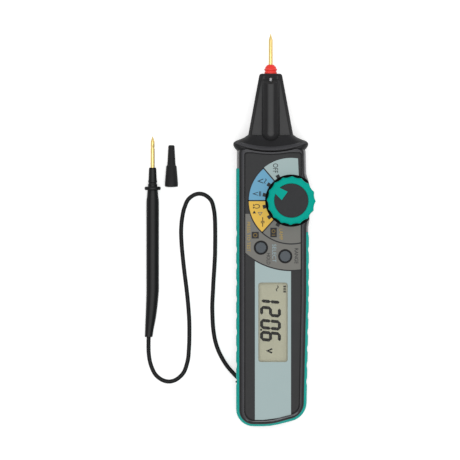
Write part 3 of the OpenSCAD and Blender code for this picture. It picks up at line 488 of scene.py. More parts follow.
# Lighter copy of the charcoal: painted light on the rear shell and the battery cover
REAR_LIT_ABS = Moulding("abs_charcoal_painted_lit_rear_shell", "#4d4d50", "#565658", 0.5, grain_mm=0.5)
GRIP_TPE = Moulding(
    "tpe_green_overmoulded", "#00a79b", "#08b2a5", 0.62, specular=0.02, grain_mm=0.6,
    grain_depth_mm=0.02, edge_wear_and_highlight=0.03, sheen=0.02,
)
DIAL_ABS = Moulding(
    "abs_green_moulded", "#009c8c", "#00a595", 0.42, specular=0.04, grain_depth_mm=0.006,
    edge_wear_and_highlight=0.03,
)
DISC_ABS = Moulding("abs_disc_moulded", "#1f2022", "#262729", 0.45, grain_mm=0.4)
KEY_ABS = Moulding("abs_blue_grey_moulded", "#484e53", "#51575c", 0.4, edge_wear_and_highlight=0.15)
BEZEL_ABS = Moulding("abs_black_moulded", "#0d0d0e", "#131314", 0.5, edge_wear_and_highlight=0.03)
# Near black: painted shade on the walls of the dial's well
WELL_SHADE_ABS = Moulding("abs_black_painted_well_shade", "#0e0e0f", "#141415", 0.6, edge_wear_and_highlight=0.0)
FILM = Moulding(
    "polyester_film_charcoal", "#252627", "#2c2c2d", 0.44, grain_mm=0.4, edge_wear_and_highlight=0.05
)
COLLAR_PA = Moulding(
    "nylon_red_moulded", "#ee2f26", "#f84a40", 0.28, edge_wear_and_highlight=0.2, grain_depth_mm=0.004
)
# Probe plastic with a painted highlight along the handle's crown
PROBE_ABS = Moulding(
    "abs_black_probe", "#171718", "#1d1d1e", 0.38, specular=0.08, edge_wear_and_highlight=0.04,
    crown_painted_highlight=0.026,
)
CAP_PVC = Moulding(
    "pvc_black_cap", "#1e1e1f", "#272728", 0.5, specular=0.1, grain_mm=0.5, edge_wear_and_highlight=0.05
)
# Cord jacket with a faint painted highlight line along its crown
CORD_PVC = Moulding(
    "pvc_cord_jacket", "#1a1a1b", "#202021", 0.36, specular=0.06, edge_wear_and_highlight=0.0,
    grain_depth_mm=0.004, crown_painted_highlight=0.01,
)
WIRE_PVC = Moulding("pvc_wire_jacket_red", "#a01c1a", "#b3231f", 0.35)
PALE_PBT = Moulding("pbt_pale_moulded", "#d9d9d2", "#cfcfc8", 0.45)
DARK_PBT = Moulding("pbt_black_moulded", "#161617", "#1e1e1f", 0.5)
BOARD_FR4 = Moulding("fr4_green_solder_mask", "#0e5230", "#176b40", 0.3, mottle_mm=1.6, coat=0.3)
ZEBRA_SILICONE = Moulding("silicone_layered", "#d8c3a8", "#40382f", 0.6, mottle_mm=0.4)
GOLD = PlatedMetal("brass_gold_plated", "#cab06a", "#d8c084", 0.32)
STEEL = PlatedMetal("steel_zinc_plated", "#c3c5c8", "#d2d4d6", 0.28, turning_axis="Z")
CELL_CAN = PlatedMetal("steel_nickel_plated_can", "#d4d4d2", "#e2e2e0", 0.16, turning_axis="X")
WINDOW = ClearMoulding("acrylic_window_polished", "#c2c4bc", clearness=0.97)
LENS = ClearMoulding("acrylic_lens_polished", "#f1f2f5", clearness=0.15)
DISPLAY = DisplayGlass("liquid_crystal_glass", "#c8c7ae", "#c3c2a9")
SEGMENT = PrintedInk("liquid_crystal_dark_segment", "#0a0a08", "#10100d", 0.5)
INK_PALE = PrintedInk("ink_pale_aqua", "#a3b5b5", "#9aadad")
INK_BLUE = PrintedInk("ink_blue", "#69a1bf", "#6ba6c9")
INK_YELLOW = PrintedInk("ink_yellow", "#e3b94e", "#d9b04a")
INK_TAUPE = PrintedInk("ink_taupe", "#75746f", "#6c6b67")
INK_BLACK = PrintedInk("ink_black", "#242527", "#2b2c2e")
INK_GOLD = PrintedInk("ink_gold", "#b09343", "#a98c40")
INK_DULL_GOLD = PrintedInk("ink_dull_gold", "#7d6838", "#766234")
INK_SKY = PrintedInk("ink_pale_blue_marks", "#94a9ae", "#8ea3a8")
SHEET = StudioSheet("paper_white_matt", "#f2f2f2", glow=0.45)


@cache
def material_of(finish: Finish) -> bpy.types.Material:
    """Material of a finish, made once."""
    return finish.build()


# Plane geometry, in millimetres


def polar(radius: float, degrees: float, centre: Point = (0.0, 0.0)) -> Point:
    """Point at a radius and an angle about a centre."""
    angle = math.radians(degrees)
    return centre[0] + radius * math.cos(angle), centre[1] + radius * math.sin(angle)


def corner_arc(before: Point, corner: Point, after: Point, radius: float, steps: int) -> Polygon:
    """Arc that rounds a corner between its two neighbours.

    Args:
        before: Corner in front of this one.
        corner: The corner itself.
        after: Corner behind it.
        radius: Radius of the round.
        steps: Number of chords.

    Returns:
        Points along the arc.
    """
    here = Vector(corner)
    u = (Vector(before) - here).normalized()
    v = (Vector(after) - here).normalized()
    half = math.acos(max(-1.0, min(1.0, u.dot(v)))) / 2
    centre = here + (u + v).normalized() * (radius / math.sin(half))
    start = here + u * (radius / math.tan(half)) - centre
    turn = math.copysign(math.pi - 2 * half, u.y * v.x - u.x * v.y)
    points = []
    for i in range(steps + 1):
        c, s = math.cos(turn * i / steps), math.sin(turn * i / steps)
        points.append((centre.x + start.x * c - start.y * s, centre.y + start.x * s + start.y * c))
    return points


def rounded(corners: Sequence[tuple[float, float, float, int]]) -> Polygon:
    """Closed outline through rounded corners, each given as x, y, radius and steps.

    Args:
        corners: Corners of the outline, in order.

    Returns:
        Points of the outline.
    """
    count = len(corners)
    points: Polygon = []
    for i, (x, y, radius, steps) in enumerate(corners):
        before, after = corners[i - 1][:2], corners[(i + 1) % count][:2]
        points += corner_arc(before, (x, y), after, radius, steps)
    return points


def eased(profile: Sequence[Sequence[float]], steps: int) -> list[tuple[float, ...]]:
    """Smooth run of values through the rows of a table.

    Args:
        profile: Rows of numbers that the run passes through.
        steps: New rows for each old one.

    Returns:
        The finer table, from the first row to the last.
    """
    rows = [tuple(map(float, row)) for row in profile]
    last = len(rows) - 1
    fine: list[tuple[float, ...]] = []
    for k in range(last):
        near = (rows[max(k - 1, 0)], rows[k], rows[k + 1], rows[min(k + 2, last)])
        for t in (s / steps for s in range(steps)):
            row = []
            for a, b, c, d in zip(*near):
                slope, bend = c - a, 2 * a - 5 * b + 4 * c - d
                row.append((2 * b + slope * t + bend * t * t + (3 * b - a - 3 * c + d) * t**3) / 2)
            fine.append(tuple(row))
    fine.append(rows[last])
    return fine


def keep_side(polygon: Polygon, normal: Point, limit: float) -> Polygon:
    """Part of a convex polygon where its product with a normal is at most a limit.

    Args:
        polygon: Corners of the polygon.
        normal: Direction that the product is taken with.
        limit: Highest product that stays.

    Returns:
        Corners of the part that stays.
    """
    kept: Polygon = []
    for i, here in enumerate(polygon):
        there = polygon[(i + 1) % len(polygon)]
        a = here[0] * normal[0] + here[1] * normal[1] - limit
        b = there[0] * normal[0] + there[1] * normal[1] - limit
        if a <= 0:
            kept.append(here)
        if (a < 0) != (b < 0) and a != b:
            t = a / (a - b)
            kept.append((here[0] + (there[0] - here[0]) * t, here[1] + (there[1] - here[1]) * t))
    return kept


def without_disc(polygons: Iterable[Polygon], middle: Point, radius: float) -> list[Polygon]:
    """Convex polygons with a round hole, each cut into the parts that lie outside it.

    Args:
        polygons: Convex polygons.
        middle: Middle of the hole.
        radius: Radius of the hole.

    Returns:
        The parts, all of them convex.
    """
    sides = 24
    kept = []
    for rest in polygons:
        if all(math.dist(corner, middle) > 3 * radius for corner in rest):
            kept.append(rest)
            continue
        for k in range(sides):
            normal = polar(1.0, 360 * k / sides)
            limit = normal[0] * middle[0] + normal[1] * middle[1] + radius
            outer = keep_side(rest, (-normal[0], -normal[1]), -limit)
            if len(outer) > 2:
                kept.append(outer)
            rest = keep_side(rest, normal, limit)
            if len(rest) < 3:
                break
    return kept


# Meshes: all helpers take millimetres and return objects in metres


def mesh_object(
    name: str,
    points: Iterable[Sequence[float]],
    faces: Iterable[Sequence[int]],
    finish: Finish,
    sharp_degrees: float = 32.0,
) -> Piece:
    """Makes a smooth-shaded object with sharp edges above an angle.

    Args:
        name: Name of the piece.
        points: Vertices in millimetres.
        faces: Vertex numbers of each face.
        finish: Finish that dresses the piece.
        sharp_degrees: Edges that turn more than this stay sharp.

    Returns:
        The new object, linked to the scene.
    """
    mesh = bpy.data.meshes.new(name)
    mesh.from_pydata([Vector(p) * MM for p in points], [], [list(f) for f in faces])
    mesh.validate()
    mesh.materials.append(material_of(finish))
    piece = linked(name, mesh)
    settle(piece, sharp_degrees)
    return piece


def settle(piece: Piece, sharp_degrees: float) -> None:
    """Makes a mesh's normals point out, and its shading smooth below an angle.

    Args:
        piece: Object whose mesh is treated.
        sharp_degrees: Edges that turn more than this stay sharp.
    """
    work = bmesh.new()
    work.from_mesh(piece.data)
    bmesh.ops.remove_doubles(work, verts=work.verts, dist=WELD_M)
    bmesh.ops.recalc_face_normals(work, faces=work.faces)
    work.to_mesh(piece.data)
    work.free()
    piece.data.shade_smooth()
    piece.data.set_sharp_from_angle(angle=math.radians(sharp_degrees))


def linked(name: str, data: bpy.types.ID) -> Piece:
    """Object of a mesh, curve, lamp or camera, linked to the scene.

    Args:
        name: Name of the object.
        data: What it shows.

    Returns:
        The new object.
    """
    piece = bpy.data.objects.new(name, data)
    bpy.context.collection.objects.link(piece)
    return piece


def loft(
    name: str,
    rings: Sequence[Sequence[Sequence[float]]],
    finish: Finish,
    sharp_degrees: float = 32.0,
    looped: bool = False,
) -> Piece:
    """Closed solid through rings that all have the same number of points.

    Args:
        name: Name of the piece.
        rings: Points of each ring in millimetres.
        finish: Finish that dresses the piece.
        sharp_degrees: Edges that turn more than this stay sharp.
        looped: Whether the last ring joins the first, instead of a cap on each.

    Returns:
        The new object.
    """
    count, rows = len(rings[0]), len(rings)
    faces: list[list[int]] = []
    for k in range(rows if looped else rows - 1):
        low, up = k * count, (k + 1) % rows * count
        for i in range(count):
            j = (i + 1) % count
            faces.append([low + i, low + j, up + j, up + i])
    if not looped:
        faces += [list(range(count))[::-1], list(range(count * (rows - 1), count * rows))]
    return mesh_object(name, [p for ring in rings for p in ring], faces, finish, sharp_degrees)


def lathe(
    name: str,
    profile: Profile,
    finish: Finish,
    frame_at: Matrix,
    sides: int = 64,
    sharp_degrees: float = 32.0,
) -> Piece:
    """Turned solid from a profile of radius and height.

    Args:
        name: Name of the piece.
        profile: Radius and height of each edge; a radius of 0 closes an end.
        finish: Finish that dresses the piece.
        frame_at: Matrix in millimetres that places the axis.
        sides: Number of sides round the axis.
        sharp_degrees: Edges that turn more than this stay sharp.

    Returns:
        The new object.
    """
    points: list[Vector] = []
    rows: list[tuple[int, int]] = []
    for radius, height in profile:
        count = sides if radius > 0 else 1
        rows.append((len(points), count))
        spots = [polar(max(radius, 0.0), 360 * i / sides) for i in range(count)]
        points += [frame_at @ Vector((x, y, height)) for x, y in spots]
    faces: list[list[int]] = []
    for (a, na), (b, nb) in zip(rows, rows[1:]):
        for i in range(sides):
            j = (i + 1) % sides
            low = [a] if na == 1 else [a + i, a + j]
            up = [b] if nb == 1 else [b + j, b + i]
            if len(low) + len(up) > 2:
                faces.append(low + up)
    if profile[0][0] > 0:
        faces.append(list(range(sides))[::-1])
    if profile[-1][0] > 0:
        faces.append(list(range(rows[-1][0], rows[-1][0] + sides)))
    return mesh_object(name, points, faces, finish, sharp_degrees)


def prism(name: str, outline: Profile, low: float, high: float, finish: Finish) -> Piece:
    """Straight solid on a closed outline, from one height to another."""
    rings = [[(x, y, z) for x, y in outline] for z in (low, high)]
    return loft(name, rings, finish, 25.0)


def block(outline: Profile, low: float, high: float) -> Piece:
    """Straight cutter on a closed outline, from one height to another."""
    return prism("cutter", outline, low, high, BEZEL_ABS)


def rod(at: Matrix, radius: float, low: float, high: float, sides: int = 96) -> Piece:
    """Round cutter about an axis, from one height to another."""
    profile = [(0.0, low), (radius, low), (radius, high), (0.0, high)]
    return lathe("cutter", profile, BEZEL_ABS, at, sides)


def paint(
    piece: Piece,
    finishes: Iterable[Finish],
    number_at: Callable[[Sequence[float], Vector], int],
) -> None:
    """Gives some faces of a piece another finish than its own, which is number 0.

    Args:
        piece: Object whose faces are dressed.
        finishes: Finishes with the numbers 1 and up.
        number_at: Finds a face's number from its middle in millimetres and its normal.
    """
    for finish in finishes:
        piece.data.materials.append(material_of(finish))
    for face in piece.data.polygons:
        number = number_at([c / MM for c in face.center], face.normal)
        if number:
            face.material_index = number


def split_faces(body: Piece, spot: Point, normal: Point) -> None:
    """Splits the faces that cross an upright plane, so that each side can have its finish.

    Args:
        body: Object whose faces are split.
        spot: Point of the plane, seen from above.
        normal: Direction that the plane faces.
    """
    mesh = bmesh.new()
    mesh.from_mesh(body.data)
    geometry = list(mesh.verts) + list(mesh.edges) + list(mesh.faces)
    spot_m = (spot[0] * MM, spot[1] * MM, 0.0)
    bmesh.ops.bisect_plane(
        mesh, geom=geometry, dist=WELD_M, plane_co=spot_m, plane_no=(*normal, 0.0)
    )
    mesh.to_mesh(body.data)
    mesh.free()


def decal(name: str, polygons: Iterable[Polygon], height: float, finish: Finish) -> Piece:
    """Flat print made of convex polygons at one height.

    Args:
        name: Name of the piece.
        polygons: Convex polygons on the face.
        height: Height that it lies at.
        finish: Finish that dresses it.

    Returns:
        The print.
    """
    points: list[Triple] = []
    faces: list[list[int]] = []
    for polygon in polygons:
        if len(polygon) > 2:
            faces.append(list(range(len(points), len(points) + len(polygon))))
            points += [(x, y, height) for x, y in polygon]
    piece = mesh_object(name, points, faces, finish)
    for face in piece.data.polygons:
        if face.normal.z < 0:
            face.flip()
    return piece


def stroke(line: Sequence[Point], width: float, closed: bool = False) -> list[Polygon]:
    """Quads of a line of even width, mitred at its bends.

    Args:
        line: Points along the middle of the line.
        width: Width of the line.
        closed: Whether the line returns to its start.

    Returns:
        One convex quad for each stretch.
    """
    count = len(line)
    sides: list[tuple[Point, Point]] = []
    for i in range(count):
        before = line[i - 1] if closed or i > 0 else None
        after = line[(i + 1) % count] if closed or i < count - 1 else None
        here = Vector(line[i])
        u = (here - Vector(before)).normalized() if before is not None else None
        v = (Vector(after) - here).normalized() if after is not None else None
        along = ((u or v) + (v or u)).normalized()
        across = Vector((-along.y, along.x))
        reach = width / 2 / max(0.5, across.dot(Vector((-(u or v).y, (u or v).x))))
        sides.append((tuple(here + across * reach), tuple(here - across * reach)))
    last = count if closed else count - 1
    return [
        [sides[i][0], sides[i][1], sides[(i + 1) % count][1], sides[(i + 1) % count][0]]
        for i in range(last)
    ]


def arc_line(centre: Point, radius: float, start: float, stop: float, steps: int) -> Polygon:
    """Points along an arc between two angles in degrees."""
    return [polar(radius, start + (stop - start) * i / steps, centre) for i in range(steps + 1)]


def sine_line(start: Point, swing: float, length: float) -> Polygon:
    """Points along one wave that runs down the face.

    Args:
        start: Start of the wave.
        swing: How far it swings to each side.
        length: Length of the wave.

    Returns:
        Points along the wave.
    """
    turns = range(0, 361, 24)
    x, y = start
    return [(x + swing * math.sin(math.radians(a)), y - a * length / 360) for a in turns]


def cut_from(piece: Piece, cutters: Sequence[Piece], sharp_degrees: float) -> Piece:
    """Cuts solids out of a piece and removes the cutters.

    Args:
        piece: Object that is cut.
        cutters: Solids that are taken away from it.
        sharp_degrees: Edges that turn more than this stay sharp.

    Returns:
        The same piece.
    """
    for cutter in cutters:
        step = piece.modifiers.new("cut", "BOOLEAN")
        step.operation = "DIFFERENCE"
        step.solver = "EXACT"
        step.object = cutter
        graph = bpy.context.evaluated_depsgraph_get()
        fresh = bpy.data.meshes.new_from_object(piece.evaluated_get(graph))
        piece.modifiers.clear()
        piece.data = fresh
        bpy.data.objects.remove(cutter)
    settle(piece, sharp_degrees)
    return piece


def place(location: Sequence[float], turn: Optional[Matrix] = None) -> Matrix:
    """Matrix in millimetres that turns about the origin and then moves."""
    return Matrix.Translation(Vector(location)) @ (turn or Matrix.Identity(4))


def turn_about(axis: str, degrees: float) -> Matrix:
    """Turn about one of the frame's axes."""
    return Matrix.Rotation(math.radians(degrees), 4, axis)


def ship(piece: Piece, body: Body, slot: str, *replaces: str) -> Piece:
    """Puts a finished piece on its body and hides the CAD nodes that it stands for.

    Args:
        piece: The finished object.
        body: Body that it rides on.
        slot: The record's material slot that its finish belongs to; not used.
        replaces: CAD nodes that it stands for.

    Returns:
        The same object.
    """
    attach(piece, body.value)
    if replaces:
        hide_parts(*replaces)
    LOG.info("%s rides on %s", piece.name, body.value)
    return piece


def softened_copy(node: str, name: str, finish: Finish, sharp_degrees: float = 30.0) -> Piece:
    """Copy of a CAD node whose facets are shaded as the curved surface they stand for.

    Args:
        node: CAD node that is copied.
        name: Name of the new piece.
        finish: Finish that dresses it.
        sharp_degrees: Edges that turn more than this stay sharp.

    Returns:
        The new object.
    """
    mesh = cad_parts[node].data.copy()
    mesh.materials.clear()
    mesh.materials.append(material_of(finish))
    piece = linked(name, mesh)
    if "custom_normal" in mesh.attributes:
        mesh.attributes.remove(mesh.attributes["custom_normal"])
    settle(piece, sharp_degrees)
    weighted = piece.modifiers.new("even_normals", "WEIGHTED_NORMAL")
    weighted.keep_sharp = True
    weighted.weight = 90
    return piece


# Camera, sheet and light


@dataclass
class Studio:
    """Camera, sheet and lamps: straight down from far off, in soft even light."""

    middle: Triple = (-19.7, 28.2, 18.0)
    field: float = 222.6
    distance: float = 8000.0
    sheet_half: float = 3000.0
    sheet_gap: float = 0.05
    room_light: float = 0.55
    sensor: float = 36.0
    clip_m: Point = (0.5, 40.0)
    lamps: tuple[tuple[str, Triple, float, float], ...] = (
        ("soft_box_above", (0, 0, 1500), 1000, 10.0),
        ("soft_box_right", (900, 700, 900), 500, 1.6),
    )

    def make_camera(self) -> None:
        """Makes the camera that looks down on the face with the test pin up."""
        lens = bpy.data.cameras.new("camera")
        lens.sensor_width = self.sensor
        lens.lens = lens.sensor_width * self.distance / self.field
        lens.clip_start, lens.clip_end = self.clip_m
        camera = linked("camera", lens)
        x, y, z = self.middle
        camera.location = Vector((x, y, z + self.distance)) * MM
        bpy.context.scene.camera = camera

    def make_sheet(self) -> None:
        """Lays the white sheet that the meter lies on."""
        half = self.sheet_half
        corners = [(x * half, y * half, -self.sheet_gap) for x, y in SQUARE]
        mesh_object("studio_sheet", corners, [[0, 1, 2, 3]], SHEET)

    def make_world(self) -> None:
        """Makes the room: white to the camera, and a soft light from above."""
        world = bpy.data.worlds.new("room")
        bpy.context.scene.world = world
        world.use_nodes = True
        tree = world.node_tree
        tree.nodes.clear()
        links = {0: white_to_the_eye(tree)}
        for number, strength in ((1, self.room_light), (2, 1.0)):
            settings = {"Color": WHITE, "Strength": strength}
            links[number] = add_node(tree, "ShaderNodeBackground", settings).outputs[0]
        both = add_node(tree, "ShaderNodeMixShader", links=links)
        add_node(tree, "ShaderNodeOutputWorld", links={"Surface": both.outputs[0]})

    def make_lamp(self, name: str, where: Triple, size: float, watts: float) -> None:
        """Makes a square soft box that faces the middle of the meter.

        Args:
            name: Name of the lamp.
            where: Place in millimetres.
            size: Edge of the soft box in millimetres.
            watts: Power of the lamp.
        """
        light = bpy.data.lights.new(name, "AREA")
        light.size = size * MM
        light.energy = watts
        lamp = linked(name, light)
        lamp.location = Vector(where) * MM
        lamp.rotation_mode = "QUATERNION"
        lamp.rotation_quaternion = (-lamp.location).to_track_quat("-Z", "Y")

    def build(self) -> None:
        """Makes the camera, the sheet, the room and the lamps."""
        self.make_camera()
        self.make_sheet()
        self.make_world()
        for lamp in self.lamps:
            self.make_lamp(*lamp)
        bpy.context.scene.view_settings.view_transform = "Standard"


# Test lead and probe


@dataclass
class TestLead:
    """The lead: a limp cord from the case's left side round to the probe's tail."""

    radius: float = 1.0
    route: tuple[Triple, ...] = (
        (-15.6, -43.8, 3.4), (-18.6, -40.7, 3.1), (-21.2, -37.6, 2.2), (-23.6, -33.8, 1.3),
        (-25.6, -29.6, 1), (-27, -25, 1), (-27.8, -20, 1), (-28.2, -14, 1), (-28.3, -8, 1),
        (-28, -2, 1), (-27.7, 4, 1), (-27.3, 10, 1), (-27, 16, 1), (-26.9, 22, 1),
        (-26.9, 28, 1), (-27, 33, 1), (-27.5, 38, 1), (-29.2, 43, 1), (-34.4, 45.8, 1),
        (-39.6, 43.4, 1), (-41.8, 39, 1), (-42.9, 34, 1), (-43.4, 28, 1), (-43.2, 22, 1),
        (-42.6, 15, 1), (-41.7, 7, 1), (-40.7, -1, 1), (-40, -8, 1), (-39.5, -15, 1),
        (-39.4, -22, 1), (-39.6, -29, 1), (-40.4, -36, 1), (-43, -42, 1), (-49.2, -45.3, 1),
        (-55.2, -42.6, 1), (-58, -37.4, 1), (-59.1, -31.6, 1.4), (-59.2, -27, 2.2),
        (-59.15, -23.7, 2.58),
    )
    grommet_table: tuple[Point, ...] = (
        (1.02, -5.2), (1.85, -5.2), (1.9, -0.8), (2.3, -0.75), (2.3, -0.1), (2.1, 0.0), (1.02, 0.0),
    )

    def make_cord(self) -> Piece:
        """Makes the cord as one Bezier curve through the route.

        Returns:
            The cord.
        """
        curve = bpy.data.curves.new("test_lead", "CURVE")
        curve.dimensions = "3D"
        curve.bevel_depth = self.radius * MM
        curve.bevel_resolution = 6
        curve.resolution_u = 8
        curve.use_fill_caps = True
        curve.materials.append(material_of(CORD_PVC))
        spline = curve.splines.new("BEZIER")
        spline.bezier_points.add(len(self.route) - 1)
        points = [Vector(p) * MM for p in self.route]
        last = len(points) - 1
        for i, point in enumerate(spline.bezier_points):
            before = points[i] - points[i - 1] if i else points[1] - points[0]
            after = points[i + 1] - points[i] if i < last else before
            # Direction of the circle through three points, and handles that follow its arc
            along = (before / before.length_squared + after / after.length_squared).normalized()
            reach = [2 * c.length / (3 * (1 + along.dot(c.normalized()))) for c in (before, after)]
            point.co = points[i]
            point.handle_left_type = point.handle_right_type = "FREE"
            point.handle_left = points[i] - along * reach[0]
            point.handle_right = points[i] + along * reach[1]
        return linked("test_lead", curve)

    def length(self) -> float:
        """Length of the route's smooth run, in millimetres."""
        run = [Vector(p) for p in eased(self.route, 12)]
        return sum((b - a).length for a, b in zip(run, run[1:]))

    def make_grommet(self) -> Piece:
        """Makes the ringed strain relief where the lead leaves the case."""
        at_exit = place(self.route[0], turn_about("Z", 135) @ turn_about("Y", 90))
        return lathe("lead_grommet", self.grommet_table, CORD_PVC, at_exit, 40)

    def build(self, probe_pieces: Sequence[Piece]) -> None:
        """Args:
            probe_pieces: Pieces of the probe on its far end; not used.
        """
        cord = ship(self.make_cord(), Body.METER, "cord_rubber", "lead_cord")
        round(self.length() * MM, 4)
        ship(self.make_grommet(), Body.METER, "cord_rubber", "cord_grommet")


@dataclass
class Probe:
    """The test probe: handle, sleeve with its guard ring, and a sharp plated pin."""

    ring_x: float = -57.2
    ring_y: float = 48.4
    ring_r: float = 3.95
    ring_t: float = 1.7
    handle_r: float = 3.05
    handle_len: float = 71.2
    belly_share: float = 0.65
    tail_swing: float = 1.95
    sleeve_r: float = 1.8
    sleeve_len: float = 9.2
    pin_r: float = 1.0
    pin_len: float = 15.4
    pin_cone: float = 2.9
    neck_back: float = 3.3
    neck_table: tuple[Point, ...] = ((1, -0.05), (0.88, 0.1), (0.88, 0.9), (0.97, 1.05))
    cone_table: tuple[Point, ...] = ((0.93, 0.2), (0.6, 1.25), (0.28, 2.2))
    handle_table: tuple[Triple, ...] = (
        (0, 0.82, 0), (0.05, 0.92, 0), (0.09, 1, 0), (0.3, 1, 0), (0.65, 1, 0), (0.7, 0.985, 0.03),
        (0.8, 0.91, 0.25), (0.88, 0.81, 0.52), (0.95, 0.68, 0.82), (1, 0.61, 1),
    )
    sleeve_table: tuple[Point, ...] = (
        (0, 1.26), (0.12, 1.25), (0.16, 1.1), (0.2, 1.1), (0.24, 1.23), (0.29, 1.21), (0.34, 1.12),
        (0.9, 1), (0.97, 0.96), (1, 0.86),
    )

    def frame_at(self) -> Matrix:
        """Matrix from the probe's own axis to its place on the sheet.

        Returns:
            The matrix in millimetres.
        """
        tilt = math.degrees(
            math.asin((self.ring_r - self.handle_r) / (self.handle_len * self.belly_share))
        )
        return place((self.ring_x, self.ring_y, self.ring_r), turn_about("X", -90 + tilt))

    def make_handle(self) -> Piece:
        """Makes the long tapered handle, which bends a little to the side at its tail.

        Returns:
            The handle.
        """
        at = self.frame_at()
        rings = []
        for share, radius, swing in eased(self.handle_table, 3):
            height = -self.ring_t / 2 - self.handle_len * share
            middle = (-self.tail_swing * swing, 0.0)
            ring = [polar(self.handle_r * radius, 9 * i, middle) for i in range(40)]
            rings.append([at @ Vector((x, y, height)) for x, y in ring])
        return loft("probe_handle_body", rings, PROBE_ABS, 40)

    def make_nose(self) -> Piece:
        """Makes the guard ring and the stepped sleeve in one moulding.

        Returns:
            The sleeve with its guard ring.
        """
        half, edge = self.ring_t / 2, self.ring_t * 0.36
        profile = [(0.0, -half - 3), (1.45, -half - 3), (1.45, -half)]
        for side, turn in ((-1, -90), (1, 0)):
            for step in range(4):
                x, y = polar(edge, turn + 30 * step)
                profile.append((self.ring_r - edge + x, side * (half - edge) + y))
        for share, radius in self.sleeve_table:
            profile.append((self.sleeve_r * radius, half + self.sleeve_len * share))
        profile.append((0.0, half + self.sleeve_len))
        return lathe("probe_sleeve", profile, PROBE_ABS, self.frame_at(), 56)

    def make_pin(self) -> Piece:
        """Makes the plated pin with its neck behind the tip.

        Returns:
            The pin.
        """
        r, start = self.pin_r, self.ring_t / 2 + self.sleeve_len
        shoulder = start + self.pin_len - self.pin_cone
        neck = shoulder - self.neck_back
        profile = [(0.0, start - 1), (r, start - 1)]
        profile += [(r * share, neck + past) for share, past in self.neck_table]
        profile += [(r * share, shoulder + past) for share, past in self.cone_table]
        profile += [(0.0, start + self.pin_len)]
        return lathe("probe_tip", profile, GOLD, self.frame_at(), 40)

    def build(self) -> list[Piece]:
        """Makes the probe.

        Returns:
            Its pieces and the ferrule's CAD node that goes with them.
        """
        return [
            ship(self.make_handle(), Body.METER, "probe_plastic", "probe_handle"),
            ship(self.make_nose(), Body.METER, "probe_plastic", "probe_nose"),
            ship(self.make_pin(), Body.METER, "gold_plate", "probe_pin"),
            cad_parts["probe_ferrule"],
        ]


@dataclass
class ProbeCap:
    """Loose cap that covers the probe's sleeve and pin, lying beside it."""

    x: float = -48.1
    mouth_y: float = 49.2
    length: float = 20.1
    mouth_r: float = 3.2
    tip_r: float = 1.55
    bore_r: float = 1.9
    bore_len: float = 5.0
    pin_bore_r: float = 1.15
    end_t: float = 1.1
    side_table: tuple[Point, ...] = (
        (0.94, 0), (1, 0.03), (0.99, 0.1), (0.8, 0.48), (0.76, 0.5), (0.65, 0.52), (0.62, 0.56),
    )
    end_table: tuple[Point, ...] = ((1, 0.95), (0.97, 0.985), (0.82, 1.0))

    def frame_at(self) -> Matrix:
        """Matrix from the cap's own axis to where it rests on two of its edges.

        Returns:
            The matrix in millimetres.
        """
        (r1, s1), (r2, s2) = self.side_table[2], self.side_table[3]
        tilt = math.atan((r1 - r2) * self.mouth_r / ((s2 - s1) * self.length))
        height = self.length * s1 * math.sin(tilt) + self.mouth_r * r1 * math.cos(tilt)
        return place((self.x, self.mouth_y, height), turn_about("X", -90 - math.degrees(tilt)))

    def build(self) -> None:
        """Makes the cap with its bore."""
        end, bore = self.length - self.end_t, self.bore_r
        profile = [(0.0, end), (self.pin_bore_r, end), (self.pin_bore_r, self.bore_len)]
        profile += [(bore, self.bore_len), (bore, 0.25), (bore + 0.2, 0.0)]
        profile += [(self.mouth_r * r, self.length * s) for r, s in self.side_table]
        profile += [(self.tip_r * r, self.length * s) for r, s in self.end_table]
        profile += [(0.0, self.length)]
        cap = lathe("probe_cap_moulding", profile, CAP_PVC, self.frame_at(), 56)
        ship(cap, Body.CAP, "cap_rubber", "probe_cap")


# Case


@dataclass
class CaseOutline:
    """Plan outline that both shells share, with the swell beside the dial."""

    left: float = 16.4
    right: float = 18.2
    foot_right: float = 16.9
    head_right: float = 16.9
    foot_y: float = -66.5
    head_y: float = 66.5
    foot_rise: float = 4.4
    waist_y: float = -5.0
    dial_y: float = 42.4
    swell: float = 0.6

    def foot_line(self, x: float) -> float:
        """Lower edge of the case at a place across it."""
        return self.foot_y + max(0.0, x) * self.foot_rise / self.foot_right

    def ring(self, draw: Sequence[float], z: float) -> list[Triple]:
        """Outline at a height, drawn in at the left, right, foot and head.

        Args:
            draw: How far it is drawn in at each of the four sides.
            z: Height of the ring.

        Returns:
            Points of the closed ring.
        """
        left, right = draw[0] - self.left, self.right - draw[1]
        foot, head = self.foot_y + draw[2], self.head_y + 1.5 - draw[3]
        swollen, y = right + self.swell, self.dial_y
        corners = [
            (left, foot, 8 - draw[0], 18),
            (0.0, foot, 30.0, 6),
            (self.foot_right - draw[1], foot + self.foot_rise, 9 - draw[1], 18),
            (right, self.waist_y, 600.0, 6),
            (right, y - 13.0, 6.0, 5),
            (swollen, y - 9.0, 6.0, 5),
            (swollen, y + 8.0, 6.0, 5),
            (self.head_right + 0.3 - draw[1], y + 13.0, 6.0, 5),
            (self.head_right - draw[1], head, 2.0, 5),
            (left, head, 2.0, 5),
        ]
        return [(px, py, z) for px, py in rounded(corners)]


